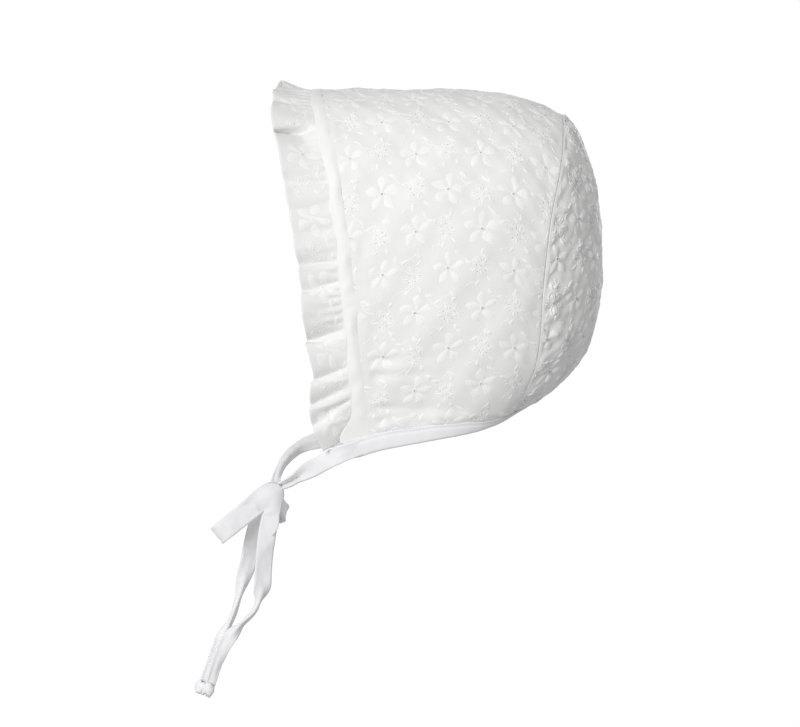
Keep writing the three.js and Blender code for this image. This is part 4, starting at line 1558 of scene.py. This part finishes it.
def teardrop(centre, angle, length, half_width, count=12):
    """A closed loop of stitches that starts and ends at the blossom's middle."""
    line = []
    for i in range(count + 1):
        turn = math.pi * i / count
        out = BLOSSOM_ROOT + length * math.sin(turn)
        side = -half_width * math.sin(2 * turn)
        x = centre[0] + out * math.cos(angle) - side * math.sin(angle)
        line.append((x, centre[1] + out * math.sin(angle) + side * math.cos(angle)))
    return line


def stem(start, reach, drop, curl, count=16):
    """A curling stem from a flower towards the next row."""
    line = []
    for i in range(count + 1):
        t = i / count
        bend = curl * math.sin(2 * math.pi * t)
        bow = STEM_BOW * curl * math.sin(math.pi * t)
        line.append((start[0] + reach * t + bend, start[1] + drop * t + bow))
    return line


def work_hole(bm, centre, radius, corners):
    """A disc painted with the shade of an eyelet's hole, a little above the cloth."""
    hole = bmesh.ops.create_circle(bm, cap_ends=True, cap_tris=True, segments=corners, radius=radius)
    bmesh.ops.translate(bm, verts=hole["verts"], vec=(*centre, HOLE_LIFT))
    for vert in hole["verts"]:
        for face in vert.link_faces:
            face.material_index = 1


def pattern_repeat():
    """A mesh of one flower, one blossom and what grows between them, lying flat."""
    bm = flat_stitching()
    flower_at = (0.0, 0.0)
    for angle in PETAL_ANGLES:
        satin_pad(bm, off_centre(flower_at, angle, PETAL_ROOT), angle, **PETAL)
    eyelet = ring(flower_at, EYELET_RADIUS + EYELET_RING_OUT, EYELET_RING_STEPS)
    thread_cord(bm, eyelet, **EYELET_RING)
    for angle in BLOSSOM_ANGLES:
        thread_cord(bm, teardrop(BLOSSOM_AT, angle, *BLOSSOM_PETAL), **CORD)
        satin_pad(bm, off_centre(BLOSSOM_AT, angle, BLOSSOM_FILL_OUT), angle, **BLOSSOM_FILL)
    thread_cord(bm, ring(BLOSSOM_AT, BLOSSOM_RING_RADIUS, BLOSSOM_RING_STEPS), **BLOSSOM_RING)
    for aside, ahead, degrees in BUDS:
        satin_pad(bm, (BLOSSOM_AT[0] + aside, BLOSSOM_AT[1] + ahead), math.radians(degrees), **BUD)
    for line in STEMS:
        thread_cord(bm, stem(*line), **CORD)
    for aside, ahead, degrees in LEAVES:
        satin_pad(bm, (aside, ahead), math.radians(degrees), **LEAF)
    work_hole(bm, flower_at, EYELET_RADIUS, EYELET_CORNERS)
    for angle in PINHOLE_ANGLES:
        work_hole(bm, off_centre(BLOSSOM_AT, angle, PINHOLE_OUT), PINHOLE_RADIUS, PINHOLE_CORNERS)
    mesh = bpy.data.meshes.new("pattern_repeat")
    bm.to_mesh(mesh)
    bm.free()
    return mesh


REPEAT = pattern_repeat()
print("one repeat:", len(REPEAT.polygons), "faces")

# %% Sewing the pattern on a panel
SUNK = 0.1
UNEVEN_TURN = math.radians(9)
UNEVEN_SIZE = 0.07
BACK_THICK = 1.8
RUFFLE_SOFT = 0.7
WANDER = 0.4
WANDER_ASIDE = (1.1, 1.7, 3.7)
WANDER_ASIDE_SLANT = 9.0
WANDER_AHEAD = (1.2, 1.9, 4.3)
WANDER_AHEAD_SLANT = 11.0


def wander(a, b):
    """A hand-guided machine strays a little: flat points moved by slow waves."""
    aside = crossed(b, a, *WANDER_ASIDE, a / WANDER_ASIDE_SLANT)
    ahead = crossed(a, b, *WANDER_AHEAD, b / WANDER_AHEAD_SLANT)
    return a + WANDER * aside, b + WANDER * ahead


def sew(name, bm, place, materials, inside=None):
    """Carries flat stitching to its place, and cuts what lies outside."""
    a, b, lift = np.array([vert.co for vert in bm.verts]).T
    if inside:
        a, b = wander(a, b)
    put_vertices(bm, place(a, b, lift - SUNK))
    put_thread_uvs(bm)
    if inside:
        kept = inside(a, b)
        outside = [vert for vert, keep in zip(bm.verts, kept) if not keep]
        bmesh.ops.delete(bm, geom=outside, context="VERTS")
    return object_from(name, bm, materials)


def embroider(name, cells, place, inside, thick=1.0):
    """Copies the repeat to its cells, none quite like the next, and sews it on a panel."""
    chance = np.random.default_rng(len(cells))
    bm = bmesh.new()
    for a, b in cells:
        first = len(bm.verts)
        bm.from_mesh(REPEAT)
        bm.verts.ensure_lookup_table()
        copy = bm.verts[first:]
        turn = Matrix.Rotation(chance.uniform(-UNEVEN_TURN, UNEVEN_TURN), 3, "Z")
        size = chance.uniform(1.0 - UNEVEN_SIZE, 1.0 + UNEVEN_SIZE)
        bmesh.ops.rotate(bm, verts=copy, cent=(0.0, 0.0, 0.0), matrix=turn)
        bmesh.ops.scale(bm, verts=copy, vec=(size, size, thick))
        bmesh.ops.translate(bm, verts=copy, vec=(a, b, 0.0))
    return sew(name, bm, place, [THREAD, EYELET], inside)


def lattice(origin, low, high):
    """Centres of the repeats that cover the cloth between two flat corners."""
    cells = []
    first_row = math.floor((low[1] - origin[1]) / ROW_PITCH)
    last_row = math.ceil((high[1] - origin[1]) / ROW_PITCH)
    for row in range(first_row, last_row + 1):
        shift = FLOWER_PITCH / 2 * (row % 2)
        first = math.floor((low[0] - origin[0] - shift) / FLOWER_PITCH)
        last = math.ceil((high[0] - origin[0] - shift) / FLOWER_PITCH)
        for column in range(first, last + 1):
            cells.append((origin[0] + shift + column * FLOWER_PITCH, origin[1] + row * ROW_PITCH))
    return cells


EDGE_CLEAR = 0.5
BAND_OVERLAP = 0.8
BACK_TOP_CLEAR = 3.0
RUFFLE_CLEAR = 1.0
RUFFLE_HEM = 0.9
CROWN_SPAN = ((-62.0, -205.0), (66.0, 205.0))
BACK_FLOWER = (0.0, 0.0)
BACK_SPAN = ((-75.0, 0.0), (75.0, float(mid_way[-1])))
RUFFLE_FLOWER = (4.0, 9.5)
RUFFLE_SPAN = ((-198.0, 0.0), (198.0, RUFFLE_WIDTH))


def in_crown(a, b):
    around, along = crown_spot(a, b)
    length = crown_length(np.clip(around, -1.0, 1.0))
    sides = (along * length > BAND_WIDTH - BAND_OVERLAP) & ((1.0 - along) * length > EDGE_CLEAR)
    return sides & (HALF_ARCH - np.abs(b) > binding_leg(along) + EDGE_CLEAR)


def in_back(a, b):
    _, down = back_spot(a, b)
    half = back_arc(np.ones_like(down), down)
    clear = (half - np.abs(a) > RIDGE_AT) & (b > BACK_TOP_CLEAR)
    return clear & (mid_way[-1] - b > LEG_BACK + NAPE_LIFT + EDGE_CLEAR)


def in_ruffle(a, b):
    between = (b > RUFFLE_CLEAR) & (b < RUFFLE_WIDTH - RUFFLE_HEM)
    return between & (np.abs(a) < RUFFLE_END - RUFFLE_CLEAR)


crown_cells = lattice(CROWN_FLOWER, *CROWN_SPAN)
crown_flowers = embroider("crown_embroidery", crown_cells, crown_flat, in_crown)
back_cells = lattice(BACK_FLOWER, *BACK_SPAN)
back_flowers = embroider("back_embroidery", back_cells, back_flat, in_back, BACK_THICK)
ruffle_cells = lattice(RUFFLE_FLOWER, *RUFFLE_SPAN)
ruffle_flowers = embroider("ruffle_embroidery", ruffle_cells, ruffle_flat, in_ruffle, RUFFLE_SOFT)
for piece in (crown_flowers, back_flowers, ruffle_flowers):
    print(piece.name, len(piece.data.polygons), "faces")

# %% The reverse of the embroidery
REVERSE_THICK = 0.6


def crown_reverse(a, b, lift):
    return crown_flat(a, b, -CLOTH_THICK - lift)


def back_reverse(a, b, lift):
    return back_place(*back_spot(a, b), -CLOTH_THICK - lift)


crown_inside = embroider("crown_reverse", crown_cells, crown_reverse, in_crown, REVERSE_THICK)
back_inside = embroider("back_reverse", back_cells, back_reverse, in_back, REVERSE_THICK)
print("inside:", len(crown_inside.data.polygons) + len(back_inside.data.polygons), "faces")

# %% [markdown]
# ## Lines of stitches
# The binding is sewn through close to its upper edge. A stitch is a short cord, and a seam is a
# row of them, drawn flat and then carried to its place like the embroidery.

# %% The binding's seam
STITCH_LENGTH = 1.7
STITCH_PITCH = 2.6
STITCH_WIDTH = 0.42
STITCH_HEIGHT = 0.24
STITCH_FIRST = 0.3
STITCH_SHARES = (0.0, 0.33, 0.67, 1.0)


def seam(bm, length, aside):
    """A row of stitches along a straight line, that far below the edge of its cloth."""
    for i in range(int(length / STITCH_PITCH)):
        start = (i + STITCH_FIRST) * STITCH_PITCH
        line = [(start + STITCH_LENGTH * share, aside) for share in STITCH_SHARES]
        thread_cord(bm, line, STITCH_WIDTH, STITCH_HEIGHT)


def on_binding(way, below, lift):
    """A point of the binding's outer face, that far below its upper edge."""
    share = TURN_FROM * below / binding_leg(hem_along(way))
    return binding_flat(way, share, lift + BINDING_THICK / 2)


def binding_seam():
    bm = flat_stitching()
    seam(bm, HEM_LENGTH, SEWN_BELOW)
    return sew("binding_stitches", bm, on_binding, [TAPE_COTTON])


hem_stitches = binding_seam()
print("binding stitches:", int(HEM_LENGTH / STITCH_PITCH))

# %% [markdown]
# ## Knots
# The bow is held by a turn of tape round the crossing. In front of it the tape comes up from the
# near tail, folds over and goes down into the near loop, so it opens like a fan from the notch
# between the two and hides the turn behind it. Each hanging end has a small tight knot with
# frayed tips. A ring of tape is one grid bent round, its two ends merged.

# %% Wound knots
# Centre, axis, radius and length of a knot, and how far each of its turns leans
KNOTS = {
    "bow_knot": ((0.0, -74.6, -186.4), (0.75, -0.55, 0.1), 3.4, 8.0, (0.0, 0.9)),
    "tail_knot_left": ((3.8, -104.4, -280.4), (0.1, -0.4, -0.9), 2.6, 6.2, (0.9, -0.9, 0.3)),
    "tail_knot_right": ((-4.2, -108.2, -280.0), (0.1, -0.4, -0.9), 2.6, 6.2, (-0.9, 0.9, -0.3)),
}
TAIL_KNOTS = ("tail_knot_left", "tail_knot_right")
KNOT_SLANT = (0.3, 0.2, 1.0)
WRAP_CELLS = (8, 36)
WRAP_CREASE = 0.08
WRAP_CREASES = 3
WRAP_RIPPLE = 0.07
WRAP_RIPPLES = (5, 2)
WRAP_ROUND = 0.32
WRAP_EVEN = 0.85
WRAP_WIDTH = 0.75
FIRST_TURN = 0.8
NEXT_TURN = 0.1
TURN_ON = 1.9
MERGE = 0.01


def knot_axes(axis):
    """Three unit vectors: along the knot and two across it."""
    along = unit(np.array(axis, float))
    across = unit(np.cross(along, KNOT_SLANT))
    return along, across, np.cross(along, across)


def wind_tape(bm, centre, axis, radius, width, tilt, turn):
    """A ring of tape round a knot, tilted, with slack creases in it."""
    along, first, second = knot_axes(axis)
    verts, across, share = unit_strip(bm, *WRAP_CELLS)
    angle = share * 2 * math.pi
    creases = WRAP_CREASE * np.sin(WRAP_CREASES * angle + turn)
    aside, on = WRAP_RIPPLES
    creases = creases + WRAP_RIPPLE * np.sin(aside * across + on * angle + turn)
    out = radius * (1.0 - WRAP_ROUND * across**2 + creases)
    swing = np.cos(angle + turn)
    ahead = width / 2 * across * (WRAP_EVEN + (1.0 - WRAP_EVEN) * swing) + tilt * swing
    ring_way = first * np.cos(angle)[:, None] + second * np.sin(angle)[:, None]
    points = np.array(centre) + along * ahead[:, None] + ring_way * out[:, None]
    write_strip(bm, verts, points * MM, across * width / 2, angle * radius)
    bmesh.ops.remove_doubles(bm, verts=verts, dist=MERGE * MM)


def wound_knot(node):
    """A bmesh with the turns of a knot, each a little wider than the last."""
    bm = flat_stitching()
    centre, axis, radius, length, tilts = KNOTS[node]
    for i, tilt in enumerate(tilts):
        wider = radius * (FIRST_TURN + NEXT_TURN * i)
        wind_tape(bm, centre, axis, wider, length * WRAP_WIDTH, tilt, TURN_ON * i)
    return bm


def finish_knot(node, bm):
    bmesh.ops.recalc_face_normals(bm, faces=bm.faces[:])
    put_thread_uvs(bm)
    piece = object_from(node + "_tape", bm, [TAPE_COTTON])
    thicken(piece, TAPE_THICK, 0.0)
    return piece


def tail_knot(node):
    return finish_knot(node, wound_knot(node))


print("turns of tape have", WRAP_CELLS[0] * WRAP_CELLS[1], "faces")

# %% The fold over the bow
FOLD_NOTCH = (6.9, -79.1, -197.4)
FOLD_CELLS = (56, 16)
FOLD = Table(
    "radius middle rim",
    [
        (-62, 11.5, 6.75, 6.6),
        (-40, 10.2, 6.95, 6.7),
        (-20, 9.0, 7.1, 6.8),
        (0, 8.6, 7.3, 6.7),
        (25, 10.5, 7.6, 5.8),
        (49, 15.2, 7.9, 3.8),
        (66, 16.0, 8.1, 3.4),
        (97, 12.2, 8.5, 6.8),
        (129, 10.3, 8.7, 9.6),
        (150, 10.2, 8.0, 9.6),
    ],
)
FOLD_ANGLES = (-62.0, 150.0)
FOLD_CREST = 0.55
FOLD_CREASE = 0.1
FOLD_CREASE_DEGREES = 9.0
FOLD_THREADS = 8.0


def bow_fold(bm):
    """The front of the bow: a fan of tape round the notch between the near tail and loop."""
    verts, across, along = unit_strip(bm, *FOLD_CELLS)
    angle = blend(*FOLD_ANGLES, (across + 1) / 2)
    radius = FOLD.read("radius", angle)
    middle = FOLD.read("middle", angle)
    rise = np.sin(np.clip(along / FOLD_CREST, 0.0, 1.0) * math.pi / 2)
    roll = np.clip((along - FOLD_CREST) / (1.0 - FOLD_CREST), 0.0, 1.0) ** 2
    creases = FOLD_CREASE * np.sin(angle / FOLD_CREASE_DEGREES) * np.sin(math.pi * along)
    x = blend(blend(FOLD_NOTCH[0], middle, rise), FOLD.read("rim", angle), roll) + creases
    y = FOLD_NOTCH[1] + radius * along * np.cos(np.radians(angle))
    z = FOLD_NOTCH[2] + radius * along * np.sin(np.radians(angle))
    write_strip(bm, verts, np.stack([x, y, z], axis=-1) * MM, radius * along, angle / FOLD_THREADS)


def bow_knot(node):
    bm = wound_knot(node)
    bow_fold(bm)
    return finish_knot(node, bm)


knots = {"bow_knot": bow_knot("bow_knot")}
for node in TAIL_KNOTS:
    knots[node] = tail_knot(node)
print("knots:", list(knots))

# %% Frayed ends
FRAY_THREADS = 14
FRAY_LENGTH = (0.9, 2.2)
FRAY_CELLS = (2, 4)
FRAY_FROM = 0.3
FRAY_INNER = 0.2
FRAY_OUTER = 0.6
FRAY_SPREAD = (0.1, 0.9)
FRAY_CURL = (-0.5, 0.5)
FRAY_HALF = 0.22
FRAY_THICK = 0.25
FRAY_SLANT = (1.0, 0.3, 0.2)


def frayed_end(node, seed):
    """Loose threads below a knot at the end of a tail."""
    chance = np.random.default_rng(seed)
    centre, axis, radius, length, _ = KNOTS[node]
    along, first, second = knot_axes(axis)
    bm = flat_stitching()
    for _ in range(FRAY_THREADS):
        turn = chance.uniform(0.0, 2 * math.pi)
        side = first * math.cos(turn) + second * math.sin(turn)
        off_axis = side * chance.uniform(FRAY_INNER, radius * FRAY_OUTER)
        start = np.array(centre) + along * length * FRAY_FROM + off_axis
        way = unit(along + side * chance.uniform(*FRAY_SPREAD))
        flank = unit(np.cross(way, FRAY_SLANT))
        verts, across, share = unit_strip(bm, *FRAY_CELLS)
        out = share * chance.uniform(*FRAY_LENGTH)
        curl = chance.uniform(*FRAY_CURL) * share**2
        points = start + way * out[:, None] + flank * (FRAY_HALF * across + curl)[:, None]
        write_strip(bm, verts, points * MM, across, out)
    put_thread_uvs(bm)
    piece = object_from(node + "_fray", bm, [THREAD])
    thicken(piece, FRAY_THICK, 0.0)
    return piece


frays = {node: frayed_end(node, seed) for seed, node in enumerate(TAIL_KNOTS)}
print("frayed ends:", list(frays))

# %% [markdown]
# ## What each piece stands for
# Every new piece rides on the one body, and each piece that dresses a solid replaces it. The
# runs of tape get their paths along their routes, and the sewn cloths print their area beside
# the size that they were cut to.

# %% Riding and replaced solids
COTTON_SLOT = "embroidered_cotton"
TAPE_SLOT = "cotton_tape"
dressed = {
    "crown_panel": (crown, COTTON_SLOT),
    "back_panel": (back, COTTON_SLOT),
    "front_band": (band, COTTON_SLOT),
    "front_ruffle": (ruffle, COTTON_SLOT),
    "neck_binding": (binding, TAPE_SLOT),
}
for node, (piece, route) in tapes.items():
    dressed[node] = (piece, TAPE_SLOT)
for node, piece in knots.items():
    dressed[node] = (piece, TAPE_SLOT)
for node, (piece, slot) in dressed.items():
    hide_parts(node)
    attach(piece, "root")
for piece in (crown_flowers, back_flowers, ruffle_flowers, crown_inside, back_inside):
    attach(piece, "root")
for piece in (hem_stitches, *frays.values()):
    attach(piece, "root")
print("dressed solids:", len(dressed))

# %% Cords
CORD_ENDS = {
    "tie_tail_left": "tail_knot_left",
    "tie_tail_right": "tail_knot_right",
    "tie_left": "bow_knot",
}
PATH_EVERY = 4
for node, (piece, route) in tapes.items():
    path = [tuple(point) for point in route.points[::PATH_EVERY] * MM]
    path.append(tuple(route.points[-1] * MM))
    end = CORD_ENDS.get(node)
    held = [pieces[end] for pieces in (knots, frays) if end in pieces]
print("cords declared:", len(tapes))

# %% Sheets
# Length and width that each cloth was cut to, in metres
CROWN_CUT = (0.396, 0.12)
BACK_CUT = (0.16, 0.175)
BAND_CUT = (0.4, 0.0105)
RUFFLE_CUT = (0.48, 0.0215)
BINDING_CUT = (0.216, 0.018)


def cloth_area(piece):
    """Area of one layer of a sheet, in square metres."""
    return sum(face.area for face in piece.data.polygons)


def declare_sheet(piece, flat):
    print(piece.name, "flat", flat, "area", round(cloth_area(piece), 5))


declare_sheet(crown, CROWN_CUT)
declare_sheet(back, BACK_CUT)
declare_sheet(band, BAND_CUT)
declare_sheet(ruffle, RUFFLE_CUT)
declare_sheet(binding, BINDING_CUT)

# %% [markdown]
# ## Floor, light and air
# A white sweep stands far below and behind. It is bright by itself and hidden from the light
# that bounces, so the picture's ground is an even white and the cloth is lit by the lamps alone:
# a wide soft lamp from the photographed side and the face, a weaker one on the far side behind,
# a weak one towards the face from the far side, and a grey sky for the shadows.

# %% The sweep
FLOOR_BELOW = 0.75
SWEEP_RADIUS = 6.0
SWEEP_CORNER = 2.0
SWEEP_WALL = 1.5
CORNER_STEPS = 8
SWEEP_STEPS = 48
SWEEP_GLOW = 1.02
SWEEP_MERGE = 1e-5


def white_sweep():
    bm = bmesh.new()
    floor = cad_box[0].z - FLOOR_BELOW
    spine = [(0.0, floor), (SWEEP_RADIUS - SWEEP_CORNER, floor)]
    for i in range(1, CORNER_STEPS + 1):
        turn = math.pi / 2 * i / CORNER_STEPS
        out = SWEEP_RADIUS - SWEEP_CORNER + SWEEP_CORNER * math.sin(turn)
        spine.append((out, floor + SWEEP_CORNER * (1.0 - math.cos(turn))))
    spine.append((SWEEP_RADIUS, floor + SWEEP_RADIUS * SWEEP_WALL))
    verts = [bm.verts.new((x, 0.0, z)) for x, z in spine]
    edges = [bm.edges.new(pair) for pair in zip(verts, verts[1:])]
    bmesh.ops.spin(
        bm,
        geom=verts + edges,
        angle=2 * math.pi,
        steps=SWEEP_STEPS,
        axis=(0, 0, 1),
        cent=(0, 0, 0),
        use_merge=True,
    )
    bmesh.ops.remove_doubles(bm, verts=bm.verts[:], dist=SWEEP_MERGE)
    bmesh.ops.recalc_face_normals(bm, faces=bm.faces[:])
    material, tree = new_material("white_sweep")
    white = {"Color": (1.0, 1.0, 1.0, 1.0), "Strength": SWEEP_GLOW}
    finish_material(tree, tree.node("ShaderNodeEmission", None, white))
    piece = object_from("white_sweep", bm, [material])
    piece.visible_diffuse = False
    piece.visible_glossy = False
    piece.visible_transmission = False
    piece.visible_shadow = False
    return piece


sweep = white_sweep()
print("floor at", round(cad_box[0].z - FLOOR_BELOW, 3), "m")

# %% Lamps and sky
KEY = {"towards": (0.86, -0.43, 0.29), "distance": 2.2, "size": 1.2, "power": 32.0}
FAR = {"towards": (-0.88, 0.4, 0.2), "distance": 2.4, "size": 1.2, "power": 19.0}
FACE = {"towards": (-0.62, -0.75, 0.22), "distance": 2.2, "size": 1.0, "power": 12.0}
SKY = 0.47


def soft_lamp(name, towards, distance, size, power):
    data = bpy.data.lights.new(name, "AREA")
    data.shape = "DISK"
    data.size = size
    data.energy = power
    lamp = bpy.data.objects.new(name, data)
    way = Vector(towards).normalized()
    lamp.location = AIM + way * distance
    lamp.rotation_euler = (-way).to_track_quat("-Z", "Y").to_euler()
    bpy.context.collection.objects.link(lamp)


soft_lamp("key_lamp", **KEY)
soft_lamp("far_lamp", **FAR)
soft_lamp("face_lamp", **FACE)
world = bpy.data.worlds.new("grey_sky")
world.use_nodes = True
sky = world.node_tree.nodes["Background"]
sky.inputs["Color"].default_value = (1.0, 1.0, 1.0, 1.0)
sky.inputs["Strength"].default_value = SKY
bpy.context.scene.world = world
bpy.context.scene.view_settings.view_transform = "Standard"
print("lamps:", [light.name for light in bpy.data.lights])
